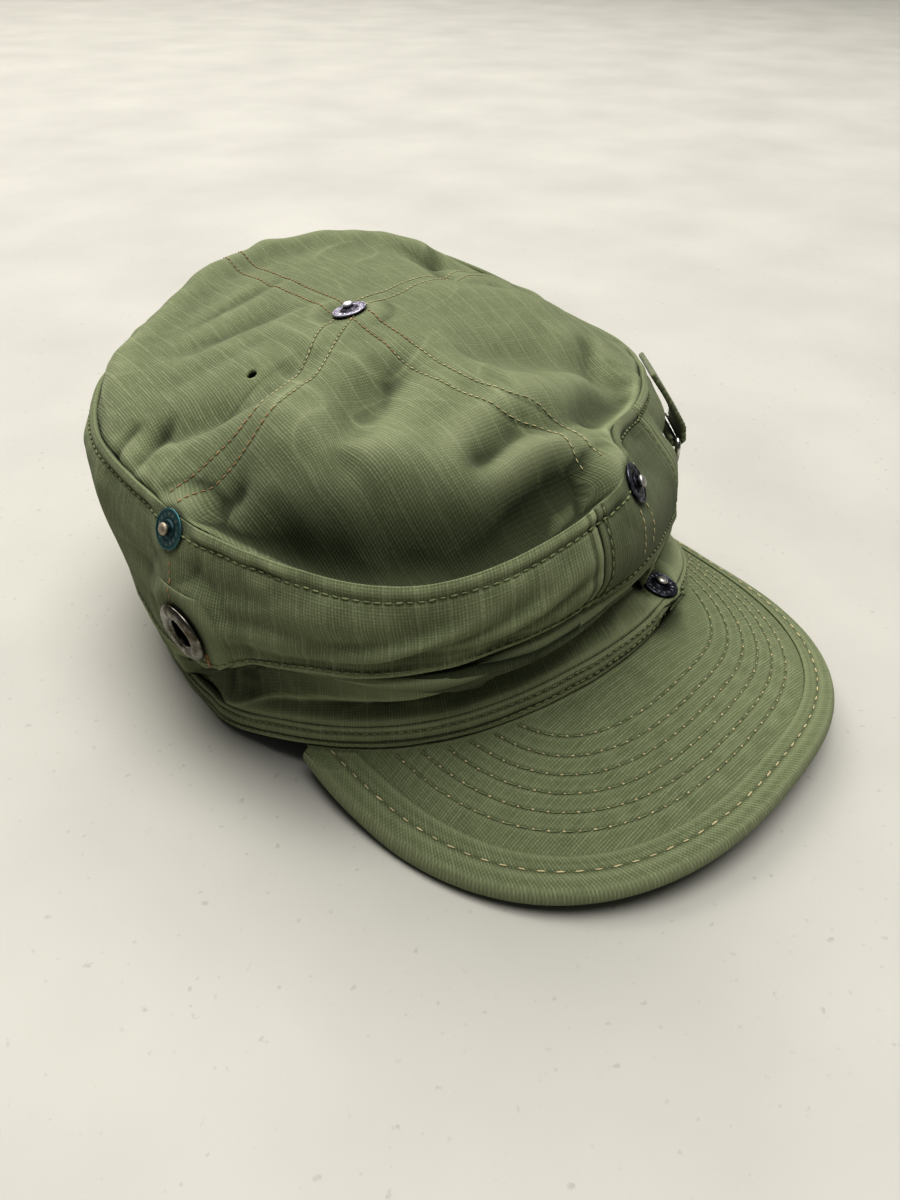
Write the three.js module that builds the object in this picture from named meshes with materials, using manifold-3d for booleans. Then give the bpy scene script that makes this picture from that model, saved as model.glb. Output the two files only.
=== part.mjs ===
// Field cap of ripstop cotton: a soft crown on a sewn rim, a stiffened peak, snap studs,
// eyelets and a strap tab. It lies on its rim and its peak, a little slumped.
// Millimetres. Front is -Y, up is +Z, the wearer's left is +X.
import * as THREE from "three";
import { mergeVertices } from "three/addons/utils/BufferGeometryUtils.js";
import Module from "manifold-3d";

// Driving sizes
const HEAD_CENTRE = { x: 1, y: 29 }; // centre of the head opening, from the origin
const CLOTH = 1.6; // wall of two layers of cotton
const GAP = 0.3; // clearance between sewn pieces
const BAND_HEIGHT = 8; // stitched band at the rim
const CROWN_TOP_Z = 99; // height of the top panel's middle
const CROWN_FALL = 2.3; // how late the top panel falls to its seam
const COLUMN_STEP = 6; // degrees between wall columns
const SEAM_RIGHT = -14.5; // front panel's seam, wearer's right
const SEAM_LEFT = 21.5; // front panel's seam, wearer's left
const SEAM_BACK = 177.5; // centre back seam
const PEAK_THICK = 2;
const PEAK_CENTRE_Y = -73.6; // where the peak's outline is widest, from the head centre
const PEAK_REACH = 79; // from there to the front edge
const PEAK_HALF_ANGLE = 60; // ends of the peak under the rim
const PEAK_COLUMNS = 36;
const OUTLINE_HALVINGS = 40;
const PEAK_SIDES = {
  right: { halfWidth: 84.7, power: 2.4, taper: 0 },
  left: { halfWidth: 84, power: 2.6, taper: 0.15 },
};
const EDGE_Z_SIDE = 2.4; // middle of the peak's edge where it touches down
const EDGE_Z_RISE = 9; // how much higher the front of the edge stands
const EDGE_BLEND = 24; // distance from the rim within which the edge rises to it
const BINDING_WIDTH = 9.5;
const BINDING_WALL = 1;
const STUD_RADIUS = 5.2;
const STUD_LIFT = 0.35; // stud disc above the cloth
const HOLE_RADIUS = 1.5; // worn hole in the top panel
const WELD = 1e-4; // corners closer than this are one corner
const EYELET = { hole: 5.3, barrel: 5, bore: 4, flange: 8.6 };
const STRAP = { angle: 54, width: 18, thick: 1.6, loopRadius: 2.4, loopOut: 6, loopZ: 52.5 };
const RING = { wire: 1, halfWidth: 11, halfHeight: 4.5, corner: 3 };

// Upright sections through the wall, one row for each angle from the front.
// Out columns are measured from the rim's radius, z columns from the floor.
const SECTIONS = table(
  "angle rimR rimZ bandOut tuckOut tuckZ foldOut foldZ lowOut lowZ bellyOut bellyZ crownOut crownZ",
  [
    [-156, 88.5, 0, 0, 0, 16, 2, 26, 2, 36, 3, 62, -5, 83],
    [-134, 84, 0, 0, 0, 14, 2, 24, 3, 32, 7, 66, 0, 81],
    [-112, 81, 0, 0, 1, 10, 3, 19, 4, 27, 9, 66, 4, 78.5],
    [-92, 82.5, 0, 0, 1, 9, 3, 15, 3.5, 21, 7.5, 52, 2, 76],
    [-78, 87, 3, 0, 0, 17, 3, 25, 5, 31, 8, 52, 1, 75],
    [-64, 91, 9.5, 0, -3, 24, 4, 34, 8, 41, 8, 56, 1, 74],
    [-40, 99.5, 20, 0, -5, 33, 9, 41, 8, 48, 9, 60, 1, 73.5],
    [-16, 102, 27.5, -1, -7, 42, 3, 48, 3, 55, 4, 68, -4, 82],
    [-4, 101.5, 28.5, -0.5, -11, 46, -1, 51.5, 0, 57, -1, 70, -10, 84.5],
    [7, 101.5, 28.5, -0.5, -14, 45, -6, 49, -5.5, 55, -8, 70, -24, 84.5],
    [22, 101, 25.5, -1, -14, 39, -8.5, 43.5, -7.5, 50, -9.5, 66, -24, 82.5],
    [42, 97, 18, -3.5, -9, 31, -8, 37, -8, 43, -7, 64, -17, 79.5],
    [64, 89.5, 10, -1, -4, 22, 1, 29, 3, 36, 5, 60, -4, 77],
    [90, 83, 0, 0, 1, 12, 4, 20, 5, 29, 7, 57, 2, 79],
    [114, 82, 0, 0, 1, 14, 4, 24, 4, 34, 6, 66, 1, 89.5],
    [136, 85, 0, 0, 1, 16, 3, 27, 3, 38, 4, 68, -1, 95.5],
    [158, 89, 0, 0, 0, 16, 2, 28, 2, 40, 3, 68, -2, 96],
    [180, 91, 0, 0, 0, 17, 1, 29, 2, 40, 3, 65, -4, 91],
  ],
);

// Folds of the top panel, from one end to the other in plan; a depth below zero is a ridge.
const TOP_FOLDS = table("x0 y0 x1 y1 width depth", [
  [-48, 38, -12, 31, 7, 3.5],
  [-77, 17, -52, -6, 6, 4],
  [-58, -8, -26, -2, 6, 3],
  [-66, -43, -14, -22, 9, 4.5],
  [-36, -64, 0, -70, 7, 4],
  [-42, -85, -20, -84, 5, 2.5],
  [6, -76, 52, -57, 7, 5],
  [52, 38, 84, 24, 8, 4],
  [-82, -12, -16, 3, 6, -1.5],
  [-78, -30, -50, -55, 9, -2],
]);

function table(names, rows) {
  const keys = names.split(" ");
  return rows.map((row) => Object.fromEntries(keys.map((key, i) => [key, row[i]])));
}

// Smooth curve round the head through the rows of SECTIONS.
function sectionAt(angle) {
  const count = SECTIONS.length;
  const turn = (i) => 360 * Math.floor(i / count);
  const row = (i) => SECTIONS[((i % count) + count) % count];
  const at = (i) => row(i).angle + turn(i);
  const start = SECTIONS[0].angle;
  const wrapped = start + ((((angle - start) % 360) + 360) % 360);
  let i = 0;
  while (i < count - 1 && at(i + 1) <= wrapped) i += 1;
  const span = at(i + 1) - at(i);
  const u = (wrapped - at(i)) / span;
  const result = {};
  for (const key of Object.keys(row(i))) {
    const slope = (k) => ((row(k + 1)[key] - row(k - 1)[key]) / (at(k + 1) - at(k - 1))) * span;
    result[key] = hermite(row(i)[key], row(i + 1)[key], slope(i), slope(i + 1), u);
  }
  result.rimZ = Math.max(result.rimZ, 0);
  return result;
}

function hermite(a, b, slopeA, slopeB, u) {
  const u2 = u * u;
  const u3 = u2 * u;
  return (
    (2 * u3 - 3 * u2 + 1) * a + (u3 - 2 * u2 + u) * slopeA +
    (3 * u2 - 2 * u3) * b + (u3 - u2) * slopeB
  );
}

const radians = THREE.MathUtils.degToRad;

function polar(angle, radius, z) {
  const a = radians(angle);
  return new THREE.Vector3(radius * Math.sin(a), -radius * Math.cos(a), z);
}

// The wall from the crown seam (0) over belly, lower seam, fold, tuck and band top to the rim (6).
const WALL_STATIONS = 6;
function wallPoint(angle, along) {
  const s = sectionAt(angle);
  const stations = [
    [s.rimR + s.crownOut, s.crownZ],
    [s.rimR + s.bellyOut, s.bellyZ],
    [s.rimR + s.lowOut, s.lowZ],
    [s.rimR + s.foldOut, s.foldZ],
    [s.rimR + s.tuckOut, s.tuckZ],
    [s.rimR + s.bandOut - GAP, s.rimZ + BAND_HEIGHT],
    [s.rimR, s.rimZ],
  ];
  const i = Math.min(Math.floor(along), WALL_STATIONS - 1);
  const u = along - i;
  const station = (k, axis) => {
    if (k < 0) return 2 * stations[0][axis] - stations[1][axis];
    if (k > WALL_STATIONS) return 2 * stations[WALL_STATIONS][axis] - stations[WALL_STATIONS - 1][axis];
    return stations[k][axis];
  };
  const blend = (axis) =>
    hermite(
      station(i, axis),
      station(i + 1, axis),
      (station(i + 1, axis) - station(i - 1, axis)) / 2,
      (station(i + 2, axis) - station(i, axis)) / 2,
      u,
    );
  return polar(angle, blend(0), blend(1));
}

function foldDrop(x, y) {
  let drop = 0;
  for (const fold of TOP_FOLDS) {
    const length = Math.hypot(fold.x1 - fold.x0, fold.y1 - fold.y0);
    const ux = (fold.x1 - fold.x0) / length;
    const uy = (fold.y1 - fold.y0) / length;
    const along = ((x - fold.x0) * ux + (y - fold.y0) * uy) / length;
    const across = ((y - fold.y0) * ux - (x - fold.x0) * uy) / fold.width;
    drop += fold.depth * Math.exp(-across * across) * Math.exp(-(((along - 0.5) / 0.5) ** 4));
  }
  return drop;
}

// The top panel from its middle (0) to the crown seam (1).
function topPoint(angle, share) {
  const s = sectionAt(angle);
  const point = polar(angle, (s.rimR + s.crownOut) * share, 0);
  const nearSeam = THREE.MathUtils.clamp((1 - share) * 6, 0, 1);
  const fall = (s.crownZ - CROWN_TOP_Z) * share ** CROWN_FALL;
  point.z = CROWN_TOP_Z + fall - foldDrop(point.x, point.y) * nearSeam;
  return point;
}

// One path from the middle of the top panel (0) over the crown seam (1) to the rim (7).
const CROWN_SEAM = 1;
const LOWER_SEAM = 3;
const BAND_SEAM = 6;
const RIM = 7;
function capPoint(angle, along) {
  return along < CROWN_SEAM ? topPoint(angle, along) : wallPoint(angle, along - CROWN_SEAM);
}

function capNormal(angle, along) {
  const step = 0.01;
  const here = capPoint(angle, along);
  const down = new THREE.Vector3();
  if (along < RIM) down.add(capPoint(angle, along + step).sub(here).normalize());
  if (along > step) down.add(here.clone().sub(capPoint(angle, along - step)).normalize());
  const round = capPoint(angle + 0.5, along).sub(capPoint(angle - 0.5, along));
  const normal = round.cross(down).negate();
  if (along === RIM) normal.z = 0;
  return normal.normalize();
}

// Path value a given distance further along the cloth.
function stepAlong(angle, along, distance) {
  const step = 0.01 * Math.sign(distance);
  const travelled = capPoint(angle, along + step).distanceTo(capPoint(angle, along));
  return along + (distance / travelled) * Math.abs(step);
}

function span(from, to, count) {
  return Array.from({ length: count + 1 }, (_, i) => from + ((to - from) * i) / count);
}

// A closed body between an outer and an inner grid of points, [column][row].
function gridSolid(outer, inner, { around = false, pole = null } = {}) {
  const columns = outer.length;
  const rows = outer[0].length;
  const points = [...outer.flat(), ...inner.flat()];
  const faces = [];
  const id = (side, column, row) => side * columns * rows + (column % columns) * rows + row;
  const quad = (a, b, c, d) => faces.push(a, b, c, a, c, d);
  const lastColumn = around ? columns : columns - 1;
  for (let i = 0; i < lastColumn; i += 1) {
    for (let j = 0; j < rows - 1; j += 1) {
      quad(id(0, i, j), id(0, i + 1, j), id(0, i + 1, j + 1), id(0, i, j + 1));
      quad(id(1, i, j), id(1, i, j + 1), id(1, i + 1, j + 1), id(1, i + 1, j));
    }
    quad(id(0, i, rows - 1), id(0, i + 1, rows - 1), id(1, i + 1, rows - 1), id(1, i, rows - 1));
    if (!pole) quad(id(0, i + 1, 0), id(0, i, 0), id(1, i, 0), id(1, i + 1, 0));
  }
  if (pole) {
    const top = points.push(pole.outer) - 1;
    const under = points.push(pole.inner) - 1;
    for (let i = 0; i < columns; i += 1) {
      faces.push(top, id(0, i + 1, 0), id(0, i, 0));
      faces.push(under, id(1, i, 0), id(1, i + 1, 0));
    }
  }
  if (!around) {
    const last = columns - 1;
    for (let j = 0; j < rows - 1; j += 1) {
      quad(id(0, 0, j), id(0, 0, j + 1), id(1, 0, j + 1), id(1, 0, j));
      quad(id(0, last, j + 1), id(0, last, j), id(1, last, j), id(1, last, j + 1));
    }
  }
  return closedGeometry(points, faces);
}

// Turns the faces outward where the grid ran the other way round.
function closedGeometry(points, faces) {
  let volume = 0;
  for (let i = 0; i < faces.length; i += 3) {
    const [a, b, c] = [points[faces[i]], points[faces[i + 1]], points[faces[i + 2]]];
    volume += a.dot(b.clone().cross(c));
  }
  const ordered = volume < 0 ? faces.slice().reverse() : faces;
  const geometry = new THREE.BufferGeometry();
  const flat = points.flatMap((p) => [p.x, p.y, p.z]);
  geometry.setAttribute("position", new THREE.Float32BufferAttribute(flat, 3));
  geometry.setIndex(ordered);
  return geometry;
}

// Cloth shell between two seams of the cap's path and, if not closed, two upright seams.
function clothShell({ from, to, rowCount, left = null, right = null, pole = false }) {
  const around = left === null;
  const first = around ? SEAM_RIGHT : left;
  const extent = around ? 360 : right - left;
  const count = Math.round(extent / COLUMN_STEP);
  const angles = span(first, first + extent, count).slice(0, around ? count : count + 1);
  const values = span(from, to, rowCount);
  const outer = [];
  const inner = [];
  angles.forEach((angle, i) => {
    const halfGap = THREE.MathUtils.radToDeg(GAP / 2 / sectionAt(angle).rimR);
    let shift = 0;
    if (!around && i === 0) shift = halfGap;
    if (!around && i === angles.length - 1) shift = -halfGap;
    const column = [];
    const under = [];
    values.forEach((value, j) => {
      let along = value;
      if (j === 0 && !pole) along = stepAlong(angle, value, GAP / 2);
      if (j === values.length - 1 && value < RIM) along = stepAlong(angle, value, -GAP / 2);
      if (along === 0) return;
      const point = capPoint(angle + shift, along);
      const mitre = value === CROWN_SEAM ? 1.25 : 1;
      column.push(point);
      under.push(point.clone().addScaledVector(capNormal(angle, value), -CLOTH * mitre));
    });
    outer.push(column);
    inner.push(under);
  });
  const middle = pole ? { outer: topPoint(0, 0), inner: topPoint(0, 0) } : null;
  if (middle) middle.inner.z -= CLOTH;
  return gridSolid(outer, inner, { around, pole: middle });
}

// Solid joins and cuts
const wasm = await Module();
wasm.setup();

// The positions alone, with every shared corner kept once
function welded(geometry) {
  const bare = new THREE.BufferGeometry();
  bare.setAttribute("position", geometry.getAttribute("position"));
  if (geometry.index) bare.setIndex(geometry.index);
  return mergeVertices(bare, WELD);
}

function toSolid(geometry) {
  const merged = welded(geometry);
  const mesh = new wasm.Mesh({
    numProp: 3,
    vertProperties: new Float32Array(merged.getAttribute("position").array),
    triVerts: new Uint32Array(merged.index.array),
  });
  return new wasm.Manifold(mesh);
}

function fromSolid(solid) {
  const mesh = solid.getMesh();
  const geometry = new THREE.BufferGeometry();
  geometry.setAttribute("position", new THREE.BufferAttribute(mesh.vertProperties, 3));
  geometry.setIndex(new THREE.BufferAttribute(mesh.triVerts, 1));
  return geometry;
}

// Moves a piece that was made along +Y so that it stands on the cloth at a place.
function seat(geometry, place, lift) {
  const turn = new THREE.Quaternion().setFromUnitVectors(new THREE.Vector3(0, 1, 0), place.normal);
  const at = place.point.clone().addScaledVector(place.normal, lift);
  return geometry.applyQuaternion(turn).translate(at.x, at.y, at.z);
}

// Where a disc of a given radius lies on the cloth: on the highest cloth under it.
function place(angle, along, radius) {
  const centre = capPoint(angle, along);
  const perDegree = capPoint(angle + 1, along).distanceTo(centre);
  const perPath = capPoint(angle, along + 0.01).distanceTo(centre) / 0.01;
  const round = span(0, 315, 7).map((turn) => {
    const east = (radius * Math.cos(radians(turn))) / perDegree;
    const down = (radius * Math.sin(radians(turn))) / perPath;
    return capPoint(angle + east, along + down);
  });
  const eastward = round[0].clone().sub(round[4]);
  const downward = round[2].clone().sub(round[6]);
  const normal = eastward.cross(downward).negate().normalize();
  const rise = (point) => point.clone().sub(centre).dot(normal);
  const lift = Math.max(0, ...round.map(rise));
  return { point: centre.addScaledVector(normal, lift), normal };
}

function drill(geometry, at, radius) {
  const tool = seat(new THREE.CylinderGeometry(radius, radius, 12, 12), at, 0);
  return fromSolid(toSolid(geometry).subtract(toSolid(tool)));
}

// Where the hardware sits: angle round the head and place along the cap's path
const STUDS = table("name angle along", [
  ["top", -139, 0.11],
  ["right", -81.5, 1.18],
  ["front", -3, 1.3],
  ["band", 8.7, 5.72],
  ["left", 95, 1.22],
  ["back", 177.5, 1.3],
]);
const EYELETS = table("name angle along", [
  ["right", -79, 2.33],
  ["left", 93, 2.4],
]);
const HOLE = { angle: -95, along: 0.545 };

// Pieces of cloth
function crownTop() {
  const panel = clothShell({ from: 0, to: CROWN_SEAM, rowCount: 9, pole: true });
  return drill(panel, place(HOLE.angle, HOLE.along, HOLE_RADIUS), HOLE_RADIUS);
}

function sidePanel(left, right, eyeletName) {
  const panel = clothShell({ from: CROWN_SEAM, to: LOWER_SEAM, rowCount: 6, left, right });
  const eyelet = EYELETS.find((item) => item.name === eyeletName);
  return drill(panel, place(eyelet.angle, eyelet.along, EYELET.flange), EYELET.hole);
}

// Distance from the head centre to the peak's outline, found by halving. The outline is a
// superellipse round the peak's own centre, and may narrow towards the front.
function outlineRadius(angle) {
  const side = angle < 0 ? PEAK_SIDES.right : PEAK_SIDES.left;
  let low = 0;
  let high = PEAK_REACH - 2 * PEAK_CENTRE_Y;
  for (let i = 0; i < OUTLINE_HALVINGS; i += 1) {
    const radius = (low + high) / 2;
    const point = polar(angle, radius, 0);
    const share = (PEAK_CENTRE_Y - point.y) / PEAK_REACH;
    const narrowing = 1 - side.taper * Math.max(share, 0);
    const across = Math.abs(point.x) / (side.halfWidth * narrowing);
    const outside = across ** side.power + Math.abs(share) ** side.power > 1;
    if (outside) high = radius;
    else low = radius;
  }
  return low;
}

// Height of the edge: arched at the front, and drawn up to the rim where the two meet.
function edgeHeight(angle, section) {
  const radius = outlineRadius(angle);
  const x = radius * Math.sin(radians(angle));
  const arched = EDGE_Z_SIDE + EDGE_Z_RISE * (1 - (x / PEAK_SIDES.right.halfWidth) ** 2);
  const near = THREE.MathUtils.clamp(1 - (radius - section.rimR) / EDGE_BLEND, 0, 1);
  return THREE.MathUtils.lerp(arched, peakSeatZ(section), near * near);
}

function peakSeatZ(section) {
  return section.rimZ - GAP - PEAK_THICK / 2;
}

// Middle surface of the peak over a place in plan.
function peakPoint(x, y) {
  const angle = THREE.MathUtils.radToDeg(Math.atan2(x, -y));
  const s = sectionAt(angle);
  const share = (Math.hypot(x, y) - s.rimR) / (outlineRadius(angle) - s.rimR);
  const within = THREE.MathUtils.clamp(share, 0, 1);
  return new THREE.Vector3(x, y, THREE.MathUtils.lerp(peakSeatZ(s), edgeHeight(angle, s), within));
}

// A point of the outline in plan and the direction from it towards the middle of the peak
function outlineAt(angle) {
  const edge = polar(angle, outlineRadius(angle), 0);
  const before = polar(angle - 0.5, outlineRadius(angle - 0.5), 0);
  const after = polar(angle + 0.5, outlineRadius(angle + 0.5), 0);
  const inward = new THREE.Vector3(before.y - after.y, after.x - before.x, 0).normalize();
  if (inward.dot(edge) > 0) inward.negate();
  return { edge, inward };
}

function peak() {
  const underBand = CLOTH - 0.1;
  const insideBinding = BINDING_WALL + 3 * GAP;
  const top = [];
  const bottom = [];
  for (const angle of span(-PEAK_HALF_ANGLE, PEAK_HALF_ANGLE, PEAK_COLUMNS)) {
    const inside = polar(angle, sectionAt(angle).rimR - underBand, 0);
    const { edge, inward } = outlineAt(angle);
    const outside = edge.addScaledVector(inward, insideBinding);
    const column = span(0, 1, 6).map((share) => {
      const flat = inside.clone().lerp(outside, share);
      return peakPoint(flat.x, flat.y);
    });
    top.push(column.map((p) => p.clone().setZ(p.z + PEAK_THICK / 2)));
    bottom.push(column.map((p) => p.clone().setZ(p.z - PEAK_THICK / 2)));
  }
  return gridSolid(top, bottom);
}

// Width of the strip round the edge, cut short where the rim crosses it.
function bindingWidth(edge, inward) {
  let width = BINDING_WIDTH;
  const step = 0.25;
  while (width > step) {
    const point = edge.clone().addScaledVector(inward, width);
    const angle = THREE.MathUtils.radToDeg(Math.atan2(point.x, -point.y));
    if (point.length() > sectionAt(angle).rimR + 2 * GAP) break;
    width -= step;
  }
  return width;
}

// Strip folded round the peak's edge: a U section swept along the outline.
function peakBinding() {
  const inner = PEAK_THICK / 2 + GAP;
  const outer = inner + BINDING_WALL;
  const angles = span(-PEAK_HALF_ANGLE, PEAK_HALF_ANGLE, PEAK_COLUMNS);
  const skin = [];
  const lining = [];
  for (const angle of angles) {
    const { edge, inward } = outlineAt(angle);
    const width = bindingWidth(edge, inward);
    const at = (depth, height) => {
      const flat = edge.clone().addScaledVector(inward, depth);
      const point = peakPoint(flat.x, flat.y);
      return point.setZ(point.z + height);
    };
    const lip = Math.min(BINDING_WALL, width / 3);
    skin.push([
      at(width, outer), at(lip * 1.5, outer), at(lip * 0.3, outer * 0.6), at(0, 0),
      at(lip * 0.3, -outer * 0.6), at(lip * 1.5, -outer), at(width, -outer),
    ]);
    lining.push([
      at(width, inner), at(lip * 1.7, inner), at(lip * 1.3, inner * 0.6), at(lip * 1.1, 0),
      at(lip * 1.3, -inner * 0.6), at(lip * 1.7, -inner), at(width, -inner),
    ]);
  }
  return gridSolid(skin, lining);
}

// Snap stud: a flat disc with a collared post that ends in a rounded head.
function stud() {
  const profile = [
    [0, 0], [STUD_RADIUS, 0], [STUD_RADIUS - 0.3, 0.8], [2.3, 1],
    [2, 1.6], [1.35, 2], [1.6, 2.8], [1.1, 3.6], [0, 3.8],
  ];
  return new THREE.LatheGeometry(profile.map(([x, y]) => new THREE.Vector2(x, y)), 12);
}

// Eyelet: a domed flange outside, an open barrel through the cloth and a rolled end inside.
function eyelet() {
  const { barrel, bore, flange } = EYELET;
  const profile = [
    [bore, -3], [barrel, -3], [barrel, 0.3], [flange, 0.3], [flange, 0.9],
    [(bore + flange) / 2, 2], [bore, 1.2], [bore, -3],
  ];
  return new THREE.LatheGeometry(profile.map(([x, y]) => new THREE.Vector2(x, y)), 16);
}

// Frame on the side wall where the strap hangs: outwards, up and along the rim.
function strapFrame() {
  const middle = capPoint(STRAP.angle, 2);
  const out = capNormal(STRAP.angle, 2).setZ(0).normalize();
  const up = new THREE.Vector3(0, 0, 1);
  const side = out.clone().cross(up);
  const foot = middle.clone().setZ(0);
  return new THREE.Matrix4().makeBasis(out, up, side).setPosition(foot);
}

// Webbing tab sewn below the crown seam, folded up round the ring's bar at its lower end.
function strapRoute() {
  const route = [[-5.6, 75.5], [-1.8, 70.5], [2, 65.3], [5.2, 60.5], [7.6, 56.6]];
  for (const turn of span(25, -200, 7)) {
    const a = radians(turn);
    const out = STRAP.loopOut + STRAP.loopRadius * Math.cos(a);
    route.push([out, STRAP.loopZ + STRAP.loopRadius * Math.sin(a)]);
  }
  return route.map(([x, y]) => new THREE.Vector2(x, y));
}

function strapTab() {
  const route = strapRoute();
  const half = STRAP.thick / 2;
  const sideOf = (sign) =>
    route.map((point, i) => {
      const before = route[Math.max(i - 1, 0)];
      const after = route[Math.min(i + 1, route.length - 1)];
      const along = after.clone().sub(before).normalize();
      return new THREE.Vector2(point.x - sign * along.y * half, point.y + sign * along.x * half);
    });
  const outline = [...sideOf(1), ...sideOf(-1).reverse()];
  const options = { depth: STRAP.width, bevelEnabled: false };
  const geometry = new THREE.ExtrudeGeometry(new THREE.Shape(outline), options);
  return geometry.translate(0, 0, -STRAP.width / 2).applyMatrix4(strapFrame());
}

// Rectangular wire ring with round corners; its upper bar lies in the strap's loop.
function strapRing() {
  const corners = [[1, 1, 0], [-1, 1, 90], [-1, -1, 180], [1, -1, 270]];
  const points = [];
  let sections = 0;
  for (const [sideSign, upSign, start] of corners) {
    for (const turn of span(start, start + 90, 3)) {
      const a = radians(turn);
      const side = sideSign * (RING.halfWidth - RING.corner) + RING.corner * Math.cos(a);
      const up = upSign * (RING.halfHeight - RING.corner) + RING.corner * Math.sin(a);
      for (const roll of [0, 60, 120, 180, 240, 300].map(radians)) {
        const reach = RING.wire * Math.cos(roll);
        const z = side + reach * Math.cos(a);
        const y = up + reach * Math.sin(a);
        points.push(new THREE.Vector3(RING.wire * Math.sin(roll), y, z));
      }
      sections += 1;
    }
  }
  const faces = [];
  for (let i = 0; i < sections; i += 1) {
    for (let j = 0; j < 6; j += 1) {
      const here = i * 6;
      const next = ((i + 1) % sections) * 6;
      const k = (j + 1) % 6;
      faces.push(here + j, next + j, next + k, here + j, next + k, here + k);
    }
  }
  const geometry = closedGeometry(points, faces);
  const drop = RING.halfHeight;
  return geometry.translate(STRAP.loopOut, STRAP.loopZ - drop, 0).applyMatrix4(strapFrame());
}

// Finishes
const finish = (name, color, roughness, metalness = 0) =>
  new THREE.MeshStandardMaterial({ name, color, roughness, metalness, side: THREE.FrontSide });
const olive = (name, color) => finish(name, color, 0.9);

const cap = new THREE.Group();
cap.position.set(HEAD_CENTRE.x, HEAD_CENTRE.y, 0);

function add(name, geometry, material) {
  const body = welded(geometry);
  body.computeVertexNormals();
  const mesh = new THREE.Mesh(body, material);
  mesh.name = name;
  cap.add(mesh);
}

add("crown_top", crownTop(), olive("ripstop_top", 0x6f7a50));
add(
  "front_panel",
  clothShell({ from: CROWN_SEAM, to: LOWER_SEAM, rowCount: 6, left: SEAM_RIGHT, right: SEAM_LEFT }),
  olive("ripstop_front", 0x667149),
);
add("side_panel_right", sidePanel(SEAM_BACK - 360, SEAM_RIGHT, "right"), olive("ripstop_right", 0x687349));
add("side_panel_left", sidePanel(SEAM_LEFT, SEAM_BACK, "left"), olive("ripstop_left", 0x687349));
add(
  "lower_wall",
  clothShell({ from: LOWER_SEAM, to: BAND_SEAM, rowCount: 9 }),
  olive("ripstop_lower", 0x5f6a44),
);
add("rim_band", clothShell({ from: BAND_SEAM, to: RIM, rowCount: 2 }), olive("ripstop_band", 0x616c46));
add("peak", peak(), olive("ripstop_peak", 0x65704a));
add("peak_binding", peakBinding(), olive("bias_binding", 0x616c46));
for (const item of STUDS) {
  const geometry = seat(stud(), place(item.angle, item.along, STUD_RADIUS), STUD_LIFT);
  add(`stud_${item.name}`, geometry, finish(`stud_metal_${item.name}`, 0x77777a, 0.45, 0.9));
}
for (const item of EYELETS) {
  const geometry = seat(eyelet(), place(item.angle, item.along, EYELET.flange), STUD_LIFT);
  add(`eyelet_${item.name}`, geometry, finish(`eyelet_metal_${item.name}`, 0x6b6761, 0.35, 0.9));
}
add("strap_tab", strapTab(), finish("cotton_webbing", 0x5d6646, 0.95));
add("strap_ring", strapRing(), finish("ring_metal", 0x9a9a9c, 0.35, 0.9));

const root = new THREE.Group();
root.add(cap);
export default root;
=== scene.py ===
"""Field cap of ripstop cotton: a soft crown on a sewn rim, a stitched peak, snap studs, eyelets
and a strap tab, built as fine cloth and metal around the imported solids."""

import math
from functools import partial

import bpy
import numpy as np
from bpy.props import FloatProperty, FloatVectorProperty, IntProperty, PointerProperty
from mathutils import Matrix, Vector
from mathutils.bvhtree import BVHTree


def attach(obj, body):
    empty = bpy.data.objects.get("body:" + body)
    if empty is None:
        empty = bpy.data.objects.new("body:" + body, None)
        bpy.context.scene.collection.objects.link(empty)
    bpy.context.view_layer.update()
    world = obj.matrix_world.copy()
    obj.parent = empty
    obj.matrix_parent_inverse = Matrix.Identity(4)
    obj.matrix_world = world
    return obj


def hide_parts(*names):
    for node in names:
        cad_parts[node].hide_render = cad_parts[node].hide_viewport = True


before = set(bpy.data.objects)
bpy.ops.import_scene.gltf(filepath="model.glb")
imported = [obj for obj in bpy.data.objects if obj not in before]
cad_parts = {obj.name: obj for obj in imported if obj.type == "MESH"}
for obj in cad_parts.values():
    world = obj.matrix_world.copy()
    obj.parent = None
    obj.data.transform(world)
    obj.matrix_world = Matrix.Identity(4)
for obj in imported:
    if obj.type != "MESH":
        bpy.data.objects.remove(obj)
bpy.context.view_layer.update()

bl_info = {
    "name": "Field cap",
    "version": (1, 0, 0),
    "blender": (4, 5, 0),
    "location": "3D View > Sidebar > Field cap",
    "description": "Builds a washed ripstop field cap with its stitching, studs, eyelets and strap",
    "category": "Object",
}

MM = 0.001
HEAD_CENTRE = np.array([1.0, 29.0, 0.0])  # centre of the head opening, from the origin
CLOTH = 1.6  # wall of two layers of cotton
GAP = 0.3
BAND_HEIGHT = 8.0
CROWN_TOP_Z = 99.0
CROWN_FALL = 2.3
SEAM_RIGHT = -14.5  # front panel's seam, wearer's right
SEAM_LEFT = 21.5
SEAM_BACK = 177.5
PEAK_THICK = 2.0
PEAK_CENTRE_Y = -73.6
PEAK_REACH = 79.0
PEAK_HALF_ANGLE = 60.0
PEAK_SIDES = {"right": (84.7, 2.4, 0.0), "left": (84.0, 2.6, 0.15)}  # half width, power, taper
EDGE_Z_SIDE = 2.4
EDGE_Z_RISE = 9.0
EDGE_BLEND = 24.0
BINDING_WIDTH = 9.5
BINDING_WALL = 1.0
STUD_RADIUS = 5.2
STUD_LIFT = 0.35
HOLE_RADIUS = 1.5
HOLE_SPREAD = 3  # the grid is spread round an eyelet's opening within this many radii
EYELET_BARREL = 5.0
EYELET_HOLE = 5.3
EYELET_FLANGE = 8.6
STRAP_ANGLE = 54.0
STRAP_WIDTH = 18.0
STRAP_THICK = 1.6
STRAP_LOOP = {"radius": 2.4, "out": 6.0, "z": 52.5}
RING_WIRE = 1.0
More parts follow.
